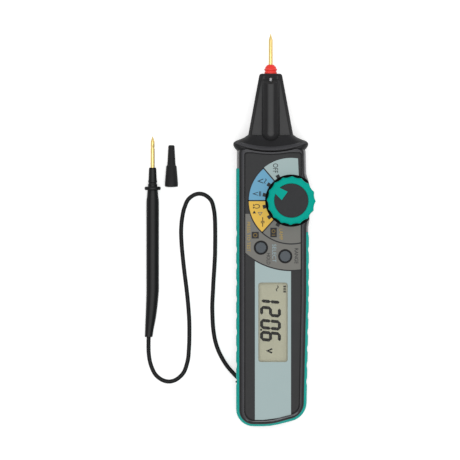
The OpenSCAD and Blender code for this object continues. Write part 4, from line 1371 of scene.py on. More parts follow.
@dataclass
class FrontShell:
    """Front shell: body with its rim, finger guard, nose and lamp tube."""

    outline: CaseOutline = field(default_factory=CaseOutline)
    split_z: float = 13.0
    rim_z: float = 26.0
    draw: tuple[float, ...] = (2.9, 2.5, 1.9, 0.7)
    side_table: tuple[Point, ...] = (
        (0, 0), (0.46, 0.06), (0.72, 0.2), (0.86, 0.4), (0.95, 0.68), (1, 1),
    )
    groove_w: float = 1.0
    groove_deep: float = 0.9
    lip_deep: float = 1.35
    lip_y: float = 66.3
    lip_bend_r: float = 45.0
    guard_w: float = 18.15
    guard_h: float = 12.55
    guard_run: float = 7.5
    guard_root_y: float = 65.9
    guard_corner: float = 5.0
    guard_table: tuple[Triple, ...] = (
        (1, 0.584, 0.73), (0.73, 0.694, 0.78), (0.49, 0.826, 0.845), (0.38, 0.89, 0.885),
        (0.31, 0.926, 0.92), (0.25, 0.952, 0.965), (0.18, 0.975, 0.993), (0.107, 0.9945, 1),
        (0.04, 1, 0.993), (-0.03, 0.997, 0.97), (-0.107, 0.986, 0.95), (-0.21, 0.948, 0.93),
        (-0.31, 0.893, 0.92),
    )
    nose_len: float = 37.4
    nose_run: float = 29.0
    nose_round: tuple[Point, ...] = ((0.0, 0.8), (0.12, 0.9), (0.4, 0.96))
    nose_tip: Point = (5.4, 4.6)
    nose_root: Point = (12.3, 9.4)
    lens_y: float = 101.05
    lens_recess_r: float = 0.85
    tip_band: float = 2.6
    crest_band: Point = (0.5, 2.2)
    foot_band: float = 3.2
    crest_deep: float = 0.35
    well_band: Point = (20.0, 24.95)
    tube_r: float = 4.4
    tube_back: float = 1.9
    tube_stop: float = 8.5
    tube_tilt: float = 9.0
    lens_bore: float = 3.4
    dial_x: float = 9.9
    well_r: float = 12.6
    well_z: float = 20.2
    shaft_hole_r: float = 2.28
    key_spots: tuple[Point, ...] = ((-4.752, 19.663), (6.979, 15.508))
    key_r: float = 2.73
    key_hole_low: float = 22.0
    roof_low: float = 23.0
    wall_draw: float = 3.5
    well_wall: float = 1.2
    well_floor: float = 1.5
    boss_r: float = 2.3
    boss_spots: tuple[Point, ...] = ((-8.4, 60.0), (8.4, 60.0), (-10.1, -25.5), (12.3, -25.5))
    seat_draw: float = 1.9
    seat_top: float = 24.18
    seat_ends: Point = (58.0, 27.2)
    panel_sides: Point = (-12.3, 14.5)
    panel_bend_r: float = 47.0
    recess_grow: float = 0.55
    recess_floor: float = 25.0
    window: tuple[float, ...] = (-6.05, -35.65, 8.25, 2.85)
    window_low: float = 19.5
    window_round: float = 0.8
    bezel_table: tuple[Point, ...] = (
        (2.78, 24.6), (2.78, 25.5), (2.9, 25.62), (3.38, 25.62), (3.48, 25.5), (3.48, 24.9),
        (2.78, 24.6),
    )

    def panel_outline(self, grow: float) -> Polygon:
        """Outline of the face panel's field, grown all round.

        Args:
            grow: How far the field is grown.

        Returns:
            Points of the outline.
        """
        o = self.outline
        left, right = self.panel_sides[0] - grow, self.panel_sides[1] + grow
        foot, head = o.foot_y + 2.9 - grow, o.head_y - 1.2 + grow
        corners = [
            (left, foot, 4.5, 12),
            (0.0, foot, 30.0, 5),
            (o.foot_right - 3.4 + grow, foot + o.foot_rise, 4.5, 12),
            (right, o.waist_y, 600.0, 4),
            (right, head, 1.2, 4),
            (left, head, 1.2, 4),
        ]
        return rounded(corners)

    def bent_cutter(self, y: float, low: float, high: float) -> Piece:
        """Round cutter in front of an arc that bends about a centre out in front."""
        return rod(place((0, y + self.lip_bend_r, 0)), self.lip_bend_r, low, high, 256)

    def panel_cutter(self, grow: float, low: float) -> Piece:
        """Cutter of the face panel's field, with its bent head end.

        Args:
            grow: How far the field is grown.
            low: Height of the recess's floor.

        Returns:
            The cutter.
        """
        at = place((0, self.outline.head_y - 2 + grow + self.panel_bend_r, 0))
        head = rod(at, self.panel_bend_r, low - 1, self.rim_z + 2, 256)
        return cut_from(block(self.panel_outline(grow), low, self.rim_z + 1), [head], 30)

    def rod_cutter(self, spot: Point, radius: float, low: float) -> Piece:
        """Round cutter that stands up from a height."""
        return rod(place((*spot, 0)), radius, low, self.rim_z + 6)

    def seat_cutter(self) -> Piece:
        """Cutter of the soft grip's seat along the sides and round the foot.

        Returns:
            The cutter.
        """
        left_end, right_end = self.seat_ends
        reach = [(-40.0, -90.0), (40.0, -90.0), (40.0, right_end), (0.0, right_end)]
        reach += [(0.0, left_end), (-40.0, left_end)]
        core = block(self.drawn_outline(self.seat_draw), self.split_z - 3, self.rim_z)
        return cut_from(block(reach, self.split_z - 2, self.seat_top), [core], 30)

    def drawn_outline(self, draw: float) -> Polygon:
        """Outline of the case, drawn in all round."""
        return [(x, y) for x, y, _ in self.outline.ring((draw,) * 4, 0.0)]

    def cavity_cutter(self) -> Piece:
        """Cutter of the room inside the shell, which leaves the well and the bosses.

        Returns:
            The cutter.
        """
        room = block(self.drawn_outline(self.wall_draw), self.split_z - 1, self.roof_low)
        wall, floor = self.well_r + self.well_wall, self.well_z - self.well_floor
        kept = [self.rod_cutter((self.dial_x, self.outline.dial_y), wall, floor)]
        kept += [self.rod_cutter(spot, self.boss_r, self.split_z - 2) for spot in self.boss_spots]
        return cut_from(room, kept, 30)

    def groove_cutter(self) -> Piece:
        """Cutter of the bent groove between the guard's lip and the rim of the face.

        Returns:
            The cutter.
        """
        half = self.groove_w / 2
        inner = self.bent_cutter(self.lip_y + half, self.rim_z - 2, self.rim_z + 3)
        low = self.rim_z - self.groove_deep
        outer = self.bent_cutter(self.lip_y - half, low, self.rim_z + 2)
        return cut_from(outer, [inner], 30)

    def make_body(self) -> Piece:
        """Makes the case's front with its rim, panel recess, well and openings.

        Returns:
            The body of the shell.
        """
        rings = []
        for share, drawn in eased(self.side_table, 4):
            z = min(self.split_z + share * (self.rim_z - self.split_z), self.rim_z)
            rings.append(self.outline.ring([v * min(drawn, 1.0) for v in self.draw], z))
        body = loft("front_shell_body", rings, CASE_ABS, 40)
        x0, y0, x1, y1 = self.window
        spots = ((x0, y0), (x1, y0), (x1, y1), (x0, y1))
        window = rounded([(x, y, self.window_round, 4) for x, y in spots])
        dial = (self.dial_x, self.outline.dial_y)
        cutters = [
            self.bent_cutter(self.lip_y, self.rim_z - self.lip_deep, self.rim_z + 2),
            self.groove_cutter(),
            self.panel_cutter(self.recess_grow, self.recess_floor),
            block(window, self.window_low, self.rim_z + 1),
            self.rod_cutter(dial, self.well_r, self.well_z),
            self.rod_cutter(dial, self.shaft_hole_r, self.split_z),
            self.seat_cutter(),
            self.cavity_cutter(),
        ]
        for spot in self.key_spots:
            cutters.append(self.rod_cutter(spot, self.key_r, self.key_hole_low))
        cut_from(body, cutters, 36)
        # Painted light and shade on the body: crest highlight, shade in the dial's well, lit
        # flanks, and a brighter highlight on the crest at the foot, which the split marks off
        split_faces(body, (0.0, self.outline.foot_y + self.foot_band), (-0.13, 1.0))
        paint(body, (CREST_HIGHLIGHT_ABS, WELL_SHADE_ABS, FLANK_LIT_ABS, FOOT_HIGHLIGHT_ABS), self.body_finish)
        return body

    def body_finish(self, middle: Sequence[float], normal: Vector) -> int:
        """Number of the finish of one face of the body: painted highlight on the crest 1,
        painted shade in the well 2, painted light on a flank 3, painted highlight at the foot 4.

        Args:
            middle: Middle of the face in millimetres.
            normal: Its normal.

        Returns:
            The number, with 0 for the case's own finish.
        """
        x, y, z = middle
        if normal.z > LEVEL and z > self.rim_z - self.crest_deep:
            return 4 if y < self.outline.foot_line(x) + self.foot_band else 1
        if abs(normal.z) < UPRIGHT and z < self.seat_top and abs(x) > self.outline.left - 2:
            return 3
        off_dial = math.hypot(x - self.dial_x, y - self.outline.dial_y)
        low, high = self.well_band
        return 2 if off_dial < self.well_r + 0.02 and low < z < high else 0

    def guard_ring(self, row: Sequence[float]) -> list[Triple]:
        """Cross-section of the finger guard: from its right edge over the top to its left.

        Args:
            row: Row of the guard's table.

        Returns:
            Points of the cross-section.
        """
        wide, top, corner = self.guard_w * row[1], self.guard_h * row[2], self.guard_corner
        half = [(wide, 0.0)] + arc_line((wide - corner, top - corner), corner, 0, 90, 14)
        half += [((wide - corner) * (1 - t / 6), top) for t in range(1, 6)]
        whole = half + [(0.0, top)] + [(-x, h) for x, h in half[::-1]]
        root = self.guard_root_y + row[0] * self.guard_run
        return [(x, root + x * x / (2 * self.lip_bend_r), self.split_z + h) for x, h in whole]

    def make_guard(self) -> Piece:
        """Makes the finger guard's front half, with the groove behind its lip.

        Returns:
            The guard.
        """
        rings = [self.guard_ring(row) for row in eased(self.guard_table, 4)]
        guard = loft("front_shell_guard", rings, CASE_ABS, 44)
        cut_from(guard, [self.groove_cutter()], 44)
        # Painted highlight on the crest of the guard's lip
        paint(guard, [CREST_HIGHLIGHT_ABS], self.guard_finish)
        return guard

    def guard_finish(self, middle: Sequence[float], normal: Vector) -> int:
        """1 for a face on the crest of the guard's lip, which gets a painted highlight, and else 0.
        """
        ahead = middle[1] - middle[0] ** 2 / (2 * self.lip_bend_r) - self.lip_y
        return int(self.crest_band[0] < ahead < self.crest_band[1] and normal.z > UPRIGHT)

    def nose_ring(self, y: float, share: float) -> list[Triple]:
        """Cross-section of the nose's front half, with its long edges rounded.

        Args:
            y: Place along the nose.
            share: Size as a share of the full one.

        Returns:
            Points of the cross-section.
        """
        t = (self.outline.head_y + self.nose_len - y) / self.nose_len
        w, h = (share * (a + t * (b - a)) for a, b in zip(self.nose_tip, self.nose_root))
        half = [(w, 0.0), (w, h * 0.6)]
        half += corner_arc((w, 0.0), (w, h * 0.66), (w - 1.3, h * 0.92), 0.8, 3)[1:]
        half += corner_arc((w, h * 0.66), (w - 1.35, h * 0.905), (3.0, h), 0.9, 4)
        half += [(3.0, h)]
        return [(x, y, self.split_z + z) for x, z in half + [(-x, z) for x, z in half[::-1]]]

    def make_nose(self) -> Piece:
        """Makes the nose's front half, rounded at its tip.

        Returns:
            The nose.
        """
        tip_y = self.outline.head_y + self.nose_len
        steps = [*self.nose_round, *((1.0 + self.nose_run * k / 8, 1.0) for k in range(9))]
        rings = [self.nose_ring(tip_y - back, share) for back, share in steps]
        nose = loft("front_shell_nose", rings, NOSE_ABS, 28)
        cut_from(nose, [self.lens_cutter()], 28)
        # The tip band keeps the plain charcoal, without the nose's painted crown highlight
        paint(nose, [CASE_ABS], lambda middle, _: int(middle[1] > tip_y - self.tip_band))
        return nose

    def lens_cutter(self) -> Piece:
        """Cutter of the recess that lets the lamp's lens look up past the tip."""
        low = self.split_z + self.nose_tip[1] - 1.5
        return self.rod_cutter((0.0, self.lens_y), self.lens_recess_r, low)

    def tube_frame(self) -> Matrix:
        """Matrix of the lamp tube: its axis runs back from the nose's tip.

        Returns:
            The matrix in millimetres.
        """
        tip_y = self.outline.head_y + self.nose_len
        where = (0.0, tip_y - self.tube_back, self.split_z + self.nose_tip[1] - 1.3)
        return place(where, turn_about("X", 90 - self.tube_tilt))

    def make_tube(self) -> Piece:
        """Makes the lamp tube, with its bevelled front end and the lens bore.

        Returns:
            The tube.
        """
        reach = self.nose_len - self.tube_back - self.tube_stop
        length = reach / math.cos(math.radians(self.tube_tilt))
        r, at = self.tube_r, self.tube_frame()
        profile = [(0.0, 0.0), (r - 0.3, 0.0), (r, 0.3)]
        profile += [(r, length * k / 6) for k in range(1, 7)]
        profile += arc_line((0.0, length), r, 10, 80, 7) + [(0.0, length + r)]
        tube = lathe("front_shell_lamp_tube", profile, NOSE_ABS, at, 96, 40)
        outline = [(-2 * r, -3.2), (2 * r, -3.2), (2 * r, 2 * r), (-2 * r, 2 * r)]
        slab = block(outline, -2 * r, 2 * r)
        tilt = at @ place((0, r, -0.5), turn_about("X", -45))
        for step in (Matrix.Scale(1 / MM, 4), tilt, Matrix.Scale(MM, 4)):
            slab.data.transform(step)
        bore = rod(at, self.lens_recess_r, -1.0, self.lens_bore, 32)
        return cut_from(tube, [slab, bore, self.lens_cutter()], 40)

    def make_bezel(self, name: str, spot: Point) -> Piece:
        """Makes the black ring that stands round a key."""
        return lathe(name, self.bezel_table, BEZEL_ABS, place((*spot, 0)), 56)

    def build(self) -> None:
        """Makes the front shell."""
        ship(self.make_body(), Body.METER, "case_plastic", "front_case")
        for piece in (self.make_guard(), self.make_nose(), self.make_tube()):
            ship(piece, Body.METER, "case_plastic")
        for name, spot in zip(("hold_key_bezel", "select_key_bezel"), self.key_spots):
            ship(self.make_bezel(name, spot), Body.METER, "dark_plastic")


@dataclass
class RearShell:
    """Rear shell, battery cover and soft grip: the softened shapes of their solids."""

    guard_y: float = 67.2

    def build(self) -> None:
        """Makes the three pieces."""
        # The rear shell and the battery cover take the lighter charcoal as painted light; the
        # guard's part keeps the plain charcoal
        rear = softened_copy("rear_case", "rear_shell", REAR_LIT_ABS)
        paint(rear, [CASE_ABS], lambda middle, _: int(middle[1] > self.guard_y))
        ship(rear, Body.METER, "case_plastic", "rear_case")
        cover = softened_copy("battery_cover", "battery_door", REAR_LIT_ABS)
        ship(cover, Body.COVER, "case_plastic", "battery_cover")
        band = softened_copy("side_grip", "grip_band", GRIP_TPE, 38.0)
        ship(band, Body.METER, "grip_rubber", "side_grip")


# Face: printed film, display, dial and keys


@dataclass
class FacePrint:
    """Inks on the face film: the range field round the dial and the pale strip."""

    film_z: float = 25.5
    layer: float = 0.02
    dial: Point = (9.9, 42.4)
    inner_r: float = 12.62
    field_r: float = 20.8
    lower_r: float = 33.8
    left: float = -12.25
    right: float = 14.45
    head_right: float = 16.0
    top_y: float = 36.0
    strip: Point = (-7.65, 9.8)
    window: tuple[float, ...] = (-6.0, -35.6, 8.2, 2.8)
    foot_y: float = -63.6
    foot_slope: float = 4.4 / 16.9
    foot_dip: Point = (0.45, 3.5)
    sector_angles: tuple[float, ...] = (60.0, 130.4, 180.0, 227.8, 300.0)
    mark_angles: tuple[float, ...] = (118.9, 144.6, 168.0, 192.8, 216.8, 240.9)
    line_w: float = 0.6
    arc_drop: float = 0.15
    key_hole_r: float = 3.0
    corner_r: float = 1.3
    mark_size: Point = (14.1, 1.8)
    range_words: tuple[tuple[str, str, Point, Point, PrintedInk], ...] = (
        ("off", "OFF", (2.15, 58.1), (2.5, 0.75), INK_BLACK),
        ("volt_ac", "V", (-5.2, 51.85), (3.0, 0.95), INK_BLACK),
        ("volt_dc", "V", (-7.65, 45.7), (2.8, 0.75), INK_BLACK),
        ("ohm", "Ω", (-7.2, 39.65), (3.1, 0.75), INK_BLACK),
    )
    key_words: tuple[tuple[str, str, Point, Point, PrintedInk], ...] = (
        ("word_left", "PRESS TO TEST", (-10.75, 25.0), (1.6, 0.95), INK_GOLD),
        ("word_low", "LAMP", (4.9, 26.2), (1.7, 0.92), INK_GOLD),
        ("word_select", "SELECT", (1.6, 17.0), (1.9, 1.0), INK_SKY),
        ("word_hold", "HOLD", (-1.2, 14.3), (1.8, 0.8), INK_BLACK),
        ("word_range", "RANGE", (12.3, 15.7), (1.8, 0.9), INK_BLACK),
    )
    sign_lines: tuple[tuple[Point, Point], ...] = (
        ((-5.45, 46.9), (-5.45, 44.5)), ((-4.85, 46.9), (-4.85, 44.5)),
        ((-3.9, 34.4), (-3.9, 32.4)), ((-4.8, 32.4), (-3.0, 32.4)),
        ((-4.8, 31.7), (-3.0, 31.7)), ((-3.9, 31.7), (-3.9, 29.8)),
    )

    def show(self, name: str, polygons: Iterable[Polygon], layer: int, ink: PrintedInk) -> None:
        """Prints polygons with one ink.

        Args:
            name: Name of the piece.
            polygons: Convex polygons on the face.
            layer: Number of the layer over the film.
            ink: Ink.
        """
        height = self.film_z + self.layer * layer
        ship(decal(name, polygons, height, ink), Body.METER, "panel_film")

    def clipped(self, quads: Iterable[Polygon], top: float = 100.0) -> list[Polygon]:
        """Parts of convex quads that lie on the film's field, which narrows towards its head.

        Args:
            quads: Convex quads.
            top: Highest place up the face that is kept.

        Returns:
            The parts that are left.
        """
        kept = []
        sides = (((1, 0), self.right), ((1, 0.045), self.head_right), ((-1, 0), -self.left))
        for quad in quads:
            for normal, limit in (*sides, ((0, 1), top)):
                quad = keep_side(quad, normal, limit)
            if len(quad) > 2:
                kept.append(quad)
        return kept

    def arc_middle(self) -> Point:
        """Middle of the fields' outer arc, which lies a little below the dial's."""
        return self.dial[0], self.dial[1] - self.arc_drop

    def ray(self, angle: float, reach: float, width: float) -> list[Polygon]:
        """Line of the scale that points away from the dial, up to a radius."""
        return stroke([polar(r, angle, self.dial) for r in (self.inner_r, reach)], width)

    def band(self, r0: float, r1: float, start: float, stop: float) -> list[Polygon]:
        """Quads of a ring sector about the dial.

        Args:
            r0: Inner radius.
            r1: Outer radius.
            start: First angle in degrees.
            stop: Last angle in degrees.

        Returns:
            The quads.
        """
        steps = max(2, int(abs(stop - start) / 2))
        inner = arc_line(self.dial, r0, start, stop, steps)
        outer = arc_line(self.arc_middle(), r1, start, stop, steps)
        return [[inner[i], outer[i], outer[i + 1], inner[i + 1]] for i in range(steps)]

    def strip_ends(self, x: float) -> Point:
        """Lower and upper edge of the pale strip.

        Args:
            x: Place across the face.

        Returns:
            Places of the two edges along the face.
        """
        deep, half = self.foot_dip
        foot = self.foot_y + max(0.0, x) * self.foot_slope + deep * max(0.0, 1 - abs(x) / half)
        return foot, self.dial[1] - math.sqrt(self.lower_r**2 - (x - self.dial[0]) ** 2)

    def strip_quads(self) -> list[Polygon]:
        """Quads of the pale strip, which leaves the window open.

        Returns:
            The quads.
        """
        x0, y0, x1, y1 = self.window
        left, right = self.strip
        edges = sorted({left, x0, x1, right} | {left + k for k in range(1, 18)})
        quads = []
        for a, b in zip(edges, edges[1:]):
            (low_a, top_a), (low_b, top_b) = self.strip_ends(a), self.strip_ends(b)
            if a >= x0 - 1e-6 and b <= x1 + 1e-6:
                quads.append([(a, low_a), (b, low_b), (b, y0), (a, y0)])
                quads.append([(a, y1), (b, y1), (b, top_b), (a, top_a)])
            else:
                quads.append([(a, low_a), (b, low_b), (b, top_b), (a, top_a)])
        return quads

    def window_corners(self) -> list[Polygon]:
        """Triangles that round the corners of the window's opening.

        Returns:
            The triangles.
        """
        x0, y0, x1, y1 = self.window
        r = self.corner_r
        bow = arc_line((r, r), r, 180, 270, 6)
        quads = []
        for x, y, sx, sy in ((x0, y0, 1, 1), (x1, y0, -1, 1), (x1, y1, -1, -1), (x0, y1, 1, -1)):
            edge = [(x + sx * px, y + sy * py) for px, py in bow]
            for a, b in zip(edge, edge[1:]):
                quads.append([(x, y), a, b] if sx * sy > 0 else [(x, y), b, a])
        return quads

    def word(self, name: str, text: str, spot: Point, size: Point, ink: PrintedInk) -> None:
        """Prints a word that reads down the face, as the display does.

        Args:
            name: Name of the piece, after "print_".
            text: Generic word or symbol.
            spot: Middle of the word on the face.
            size: Height of the capitals, and their width as a share of the normal one.
            ink: Ink.
        """
        height, squeeze = size
        curve = bpy.data.curves.new(f"print_{name}", "FONT")
        curve.body = text
        curve.align_x, curve.align_y = "CENTER", "CENTER"
        curve.size = height / CAPITAL_SHARE * MM
        curve.resolution_u = 3
        curve.materials.append(material_of(ink))
        piece = linked(curve.name, curve)
        piece.location = Vector((*spot, self.film_z + self.layer * 4)) * MM
        piece.rotation_euler = (0.0, 0.0, math.radians(-90))
        piece.scale = (squeeze, 1.0, 1.0)
        ship(piece, Body.METER, "panel_film")

    def build(self) -> None:
        """Prints the whole face."""
        inks = {"off": INK_PALE, "volt": INK_BLUE, "ohm": INK_YELLOW, "lower": INK_TAUPE}
        angles = self.sector_angles
        for (name, ink), start, stop in zip(inks.items(), angles, angles[1:]):
            quads = self.clipped(self.band(self.inner_r, self.field_r, start, stop))
            self.show(f"print_{name}_field", quads, 1, ink)
        quads = self.clipped(self.band(self.field_r, self.lower_r, 150.0, 300.0), self.top_y)
        for spot in FrontShell.key_spots:
            quads = without_disc(quads, spot, self.key_hole_r)
        self.show("print_taupe_field", quads, 1, INK_TAUPE)
        self.show("print_pale_strip", self.strip_quads() + self.window_corners(), 1, INK_PALE)
        lines: list[Polygon] = []
        for angle in angles[1:4]:
            lines += self.ray(angle, self.field_r + 0.2, self.line_w)
        arc = arc_line(self.arc_middle(), self.field_r, angles[1], angles[4], 90)
        lines += stroke(arc, self.line_w)
        lines += stroke(arc_line(self.dial, self.lower_r, 200.0, 300.0, 60), self.line_w)
        for angle in self.mark_angles:
            lines += self.ray(angle, *self.mark_size)
        self.show("print_lines", self.clipped(lines), 2, INK_BLACK)
        self.build_signs()

    def build_signs(self) -> None:
        """Prints the generic signs of the ranges and plain words at the keys."""
        for word in self.range_words:
            self.word(*word)
        signs = stroke(sine_line((-2.6, 53.0), 0.42, 2.3), 0.35)
        for line in self.sign_lines[:2]:
            signs += stroke(line, 0.35)
        signs.append([(-8.85, 36.2), (-7.1, 36.2), (-7.95, 37.6)])
        for line in self.sign_lines[2:]:
            signs += stroke(line, 0.35)
        self.show("print_signs", signs, 4, INK_BLACK)
        faint = stroke([(-6.1, 36.7), (-4.2, 36.7), (-5.15, 35.3)], 0.3, closed=True)
        self.show("print_faint_sign", faint, 4, INK_TAUPE)
        fields = ((-9.2, 24.1, -5.8, 27.3), (-0.2, 24.7, 2.9, 29.3))
        dark = [[(x0, y0), (x1, y0), (x1, y1), (x0, y1)] for x0, y0, x1, y1 in fields]
        self.show("print_icon_fields", dark, 3, INK_BLACK)
        gold = stroke(arc_line((-7.5, 25.7), 0.85, 0, 345, 22), 0.35, closed=True)
        gold += stroke(arc_line((1.35, 27.6), 0.75, 0, 345, 22), 0.32, closed=True)
        gold += stroke([(0.5, 25.7), (2.2, 25.7)], 0.32)
        self.show("print_icon_signs", gold, 5, INK_DULL_GOLD)
        for word in self.key_words:
            self.word(*word)


class Segment(Enum):
    """Bars of a seven-segment digit, by the usual letters."""

    A = ((0.0, 1.0), (1.0, 1.0))
    B = ((1.0, 1.0), (1.0, 0.5))
    C = ((1.0, 0.5), (1.0, 0.0))
    D = ((0.0, 0.0), (1.0, 0.0))
    E = ((0.0, 0.5), (0.0, 0.0))
    F = ((0.0, 1.0), (0.0, 0.5))
    G = ((0.0, 0.5), (1.0, 0.5))


@dataclass
class Display:
    """Liquid-crystal glass under the clear window, with a plain reading on it."""

    glass_z: float = 22.2
    reading: tuple[tuple[str, float], ...] = (
        ("BC", -1.75), ("ABGED", -8.35), ("ABCDEF", -14.65), ("AFGECD", -20.4),
    )
    auto_x: Point = (6.1, 7.4)
    auto_bars: tuple[Point, ...] = ((1.3, 0.6), (0.3, -0.2), (-0.5, -1.0), (-1.3, -2.0))
    low_x: float = -5.15
    high_x: float = 4.95
    digit_w: float = 5.0
    bar: float = 1.5
    mitre: float = 0.06
    slant: float = 0.09

    def on_glass(self, along: float, up: float) -> Point:
        """Point of the reading, which runs down the face, from its start and its height."""
        return up, along - self.slant * (up - self.low_x)

    def bar_shape(self, start: float, segment: Segment) -> Polygon:
        """Eight-cornered bar of one segment, with blunt ends.

        Args:
            start: Place of the digit's first edge along the face.
            segment: Which bar.

        Returns:
            The bar's corners on the glass.
        """
        half = self.bar / 2
        width, height = self.digit_w - self.bar, self.high_x - self.low_x - self.bar
        (u0, v0), (u1, v1) = segment.value
        a = Vector((start - half - u0 * width, self.low_x + half + v0 * height))
        b = Vector((start - half - u1 * width, self.low_x + half + v1 * height))
        along = (b - a).normalized()
        across = Vector((-along.y, along.x)) * half
        # Blunt ends: the outer edge of a bar is longer than a full mitre would leave it
        a, b = a - along * self.mitre, b + along * self.mitre
        step = along * (half + self.mitre - 0.12)
        blunt = across * (self.mitre / half)
        corners = [a + blunt, a + step + across, b - step + across, b + blunt]
        corners += [b - blunt, b - step - across, a + step - across, a - blunt]
        return [self.on_glass(c.x, c.y) for c in corners]

    def build(self) -> None:
        """Fills the display."""
        bars = []
        for letters, start in self.reading:
            bars += [self.bar_shape(start, Segment[letter]) for letter in letters]
        point = self.on_glass(-20.0, self.low_x + 0.5)
        bars.append([polar(0.55, 45 * k, point) for k in range(8)])
        bars += stroke([(0.7, -29.25), (-1.6, -30.25), (0.7, -31.25)], 0.8)
        bars += stroke(sine_line((3.15, 1.3), 0.5, 2.7), 0.42)
        x0, x1 = self.auto_x
        bars += [[(x0, y0), (x0, y1), (x1, y1), (x1, y0)] for y0, y1 in self.auto_bars]
        height = self.glass_z + 0.03
        ship(decal("display_reading", bars, height, SEGMENT), Body.METER, "display_glass")


@dataclass
class Dial:
    """Thumb wheel: a scalloped green ring with a pointer over a dark disc."""

    x: float = 9.9
    y: float = 42.4
    low_z: float = 20.5
    top_z: float = 31.0
    outer_r: float = 11.8
    scallop: float = 0.55
    scallops: int = 16
    disc_r: float = 8.2
    disc_table: tuple[Point, ...] = ((0.0, 0.1), (0.15, 0.0), (1.2, 0.02), (2.5, 0.08))
    dish: float = 0.16
    rest: float = 144.4
    crest_share: float = 0.42
    scallop_steps: int = 14
    seat_z: float = 26.0
    pointer_low: float = 27.0
    foot_table: tuple[Point, ...] = ((0.0, 0.9), (0.3, 0.35), (1.0, 0.0))
    crown_table: tuple[Point, ...] = ((1.4, 0.0), (0.7, 0.12), (0.28, 0.42), (0.0, 1.0))
    pointer_table: tuple[Point, ...] = (
        (3.9, -2.45), (4.0, -2.5), (8.6, -1.7), (8.6, 1.7), (4.0, 2.5), (3.9, 2.45),
    )

    def rim_radius(self, degrees: float, inset: float) -> float:
        """Radius of the scalloped rim at an angle.

        Args:
            degrees: Angle about the dial.
            inset: How far the rim is drawn in there.

        Returns:
            The radius.
        """
        pitch = 360 / self.scallops
        off = abs((degrees - self.rest) % pitch - pitch / 2) / (pitch / 2)
        hollow = 1 - math.exp(-((off / self.crest_share) ** 2))
        return self.outer_r - inset - self.scallop * hollow

    def make_ring(self) -> Piece:
        """Makes the scalloped ring, hollow in the middle.

        Returns:
            The ring.
        """
        low, top, r = self.low_z, self.top_z, self.disc_r
        sides = self.scallops * self.scallop_steps
        angles = [360 * i / sides for i in range(sides)]
        levels = [(low + up, inset) for up, inset in self.foot_table]
        levels += [(top - down, inset) for down, inset in self.crown_table]
        rings = []
        for z, inset in levels:
            rim = [polar(self.rim_radius(a, inset), a, (self.x, self.y)) for a in angles]
            rings.append([(x, y, z) for x, y in rim])
        for radius, z in ((r + 0.35, top), (r + 0.05, top - 0.3), (r, self.seat_z), (r, low)):
            rings.append([(*polar(radius, a, (self.x, self.y)), z) for a in angles])
        return loft("dial_ring", rings, DIAL_ABS, 38, looped=True)

    def make_pointer(self) -> Piece:
        """Makes the pointer wedge that reaches in over the disc.

        Returns:
            The pointer.
        """
        at = place((self.x, self.y, 0), turn_about("Z", self.rest))
        outline = [(at @ Vector((*corner, 0)))[:2] for corner in self.pointer_table]
        return prism("dial_pointer", outline, self.pointer_low, self.top_z - 0.02, DIAL_ABS)

    def build(self) -> None:
        """Makes the dial."""
        ship(self.make_ring(), Body.DIAL, "dial_green", "dial_wheel")
        ship(self.make_pointer(), Body.DIAL, "dial_green")
        r, top = self.disc_r, self.top_z - 0.3
        profile = [(0.0, self.seat_z), (r, self.seat_z)]
        profile += [(r - inward, top - down) for inward, down in self.disc_table]
        profile += [(0.0, top - self.dish)]
        disc = lathe("dial_disc", profile, DISC_ABS, place((self.x, self.y, 0)), 96)
        ship(disc, Body.DIAL, "dial_dark", "dial_cap")


@dataclass
class Keys:
    """Two round keys with rounded edges and slightly dished tops."""

    radius: float = 2.65
    flange_r: float = 3.35
    stem_r: float = 1.3
    roof_low: float = 23.0
    top_z: float = 25.9
    drops: Triple = (3.05, 0.85, 0.05)
    crown_table: tuple[Point, ...] = ((0.0, 0.4), (0.12, 0.12), (0.45, 0.0), (1.0, 0.03))
    dish: float = 0.16

    def make_key(self, name: str, spot: Point) -> Piece:
        """Makes one key with its flange and stem.

        Args:
            name: Name of the piece.
            spot: Middle of the key on the face.

        Returns:
            The key.
        """
        r, top, stem, flange = self.radius, self.top_z, self.stem_r, self.flange_r
        low, seat, roof = (self.roof_low - drop for drop in self.drops)
        profile = [(0.0, low), (stem, low), (stem, seat), (flange, seat), (flange, roof), (r, roof)]
        profile += [(r - inward, top - down) for inward, down in self.crown_table]
        profile += [(0.0, top - self.dish)]
        return lathe(name, profile, KEY_ABS, place((*spot, 0)), 56)

    def build(self, spots: Sequence[Point]) -> None:
        """Makes both keys.

        Args:
            spots: Middles of the hold key and of the select key.
        """
        for key, body, spot in zip(("hold", "select"), (Body.HOLD_KEY, Body.SELECT_KEY), spots):
            ship(self.make_key(f"{key}_key_top", spot), body, "key_plastic", f"{key}_button")


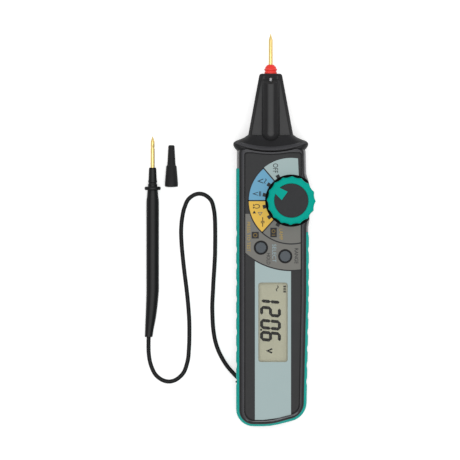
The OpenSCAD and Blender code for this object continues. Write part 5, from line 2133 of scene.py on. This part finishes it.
@dataclass
class TestPin:
    """Fixed test pin in its ribbed red collar at the nose's tip."""

    tip_y: float = 103.9
    axis_z: float = 13.0
    pin_r: float = 1.0
    pin_len: float = 15.1
    pin_cone: float = 3.1
    cone_table: tuple[Point, ...] = ((1.0, 0.0), (0.62, 1.15), (0.34, 2.1))
    collar_r: float = 3.13
    collar_len: float = 4.4
    collar_table: tuple[Point, ...] = (
        (0.97, 0), (0.97, 0.14), (0.88, 0.22), (0.88, 0.3), (1, 0.4), (1, 0.51), (0.86, 0.58),
        (0.84, 0.68), (0.77, 0.78), (0.66, 0.87), (0.52, 0.95), (0.38, 1),
    )

    def build(self) -> None:
        """Makes the pin and its collar."""
        along = place((0, self.tip_y, self.axis_z), turn_about("X", -90))
        profile = [(0.0, -4.0), (2.1, -4.0), (2.1, 0.0)]
        profile += [(self.collar_r * r, self.collar_len * s) for r, s in self.collar_table]
        profile += [(0.0, self.collar_len)]
        collar = lathe("test_pin_collar", profile, COLLAR_PA, along, 56, 24)
        ship(collar, Body.METER, "red_plastic", "pin_collar")
        r, start, stop = self.pin_r, self.collar_len, self.collar_len + self.pin_len
        shoulder = stop - self.pin_cone
        profile = [(0.0, start - 1), (r, start - 1)]
        profile += [(r * share, shoulder + past) for share, past in self.cone_table]
        profile += [(0.15, stop - 0.12), (0.0, stop)]
        pin = lathe("test_pin_point", profile, GOLD, along, 40)
        ship(pin, Body.METER, "gold_plate", "test_pin")


@dataclass
class KeptSolids:
    """Pieces that keep their solids, most of them inside the case, and get their finishes."""

    nodes: dict[Finish, tuple[str, ...]] = field(
        default_factory=lambda: {
            BOARD_FR4: ("circuit_board",),
            DARK_PBT: (
                "board_chips", "buzzer", "dial_shaft", "hold_plunger", "lcd_frame",
                "select_plunger",
            ),
            STEEL: (
                "case_screws", "cord_tie", "cover_screw", "detent_ball", "detent_ring",
                "detent_spring", "probe_ferrule", "rotor_screw", "tact_switches",
            ),
            GOLD: ("cell_contacts", "pin_terminal", "wiper_contacts"),
            PALE_PBT: ("switch_rotor", "tip_lamp"),
            WIRE_PVC: ("inner_leads",),
            CELL_CAN: ("button_cells",),
            CORD_PVC: ("lead_tail",),
            LENS: ("lamp_lens",),
            FILM: ("face_panel",),
            DISPLAY: ("lcd_glass",),
            WINDOW: ("lcd_window",),
            ZEBRA_SILICONE: ("zebra_strips",),
        }
    )

    def build(self) -> None:
        """Dresses the pieces."""
        for finish, nodes in self.nodes.items():
            for target in (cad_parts[node] for node in nodes):
                for slot in target.material_slots:
                    slot.link = "OBJECT"
                    slot.material = material_of(finish)
                if not target.material_slots:
                    target.data.materials.append(material_of(finish))
                LOG.info("%s keeps its solid, in %s", target.name, finish.name)


def main() -> None:
    """Builds the studio and the meter's sub-assemblies in order."""
    logging.basicConfig(level=logging.INFO, format="%(message)s")
    Studio().build()
    probe_pieces = Probe().build()
    TestLead().build(probe_pieces)
    ProbeCap().build()
    front = FrontShell()
    front.build()
    RearShell().build()
    FacePrint().build()
    Display().build()
    Dial().build()
    Keys().build(front.key_spots)
    TestPin().build()
    KeptSolids().build()


if __name__ == "__main__":
    main()
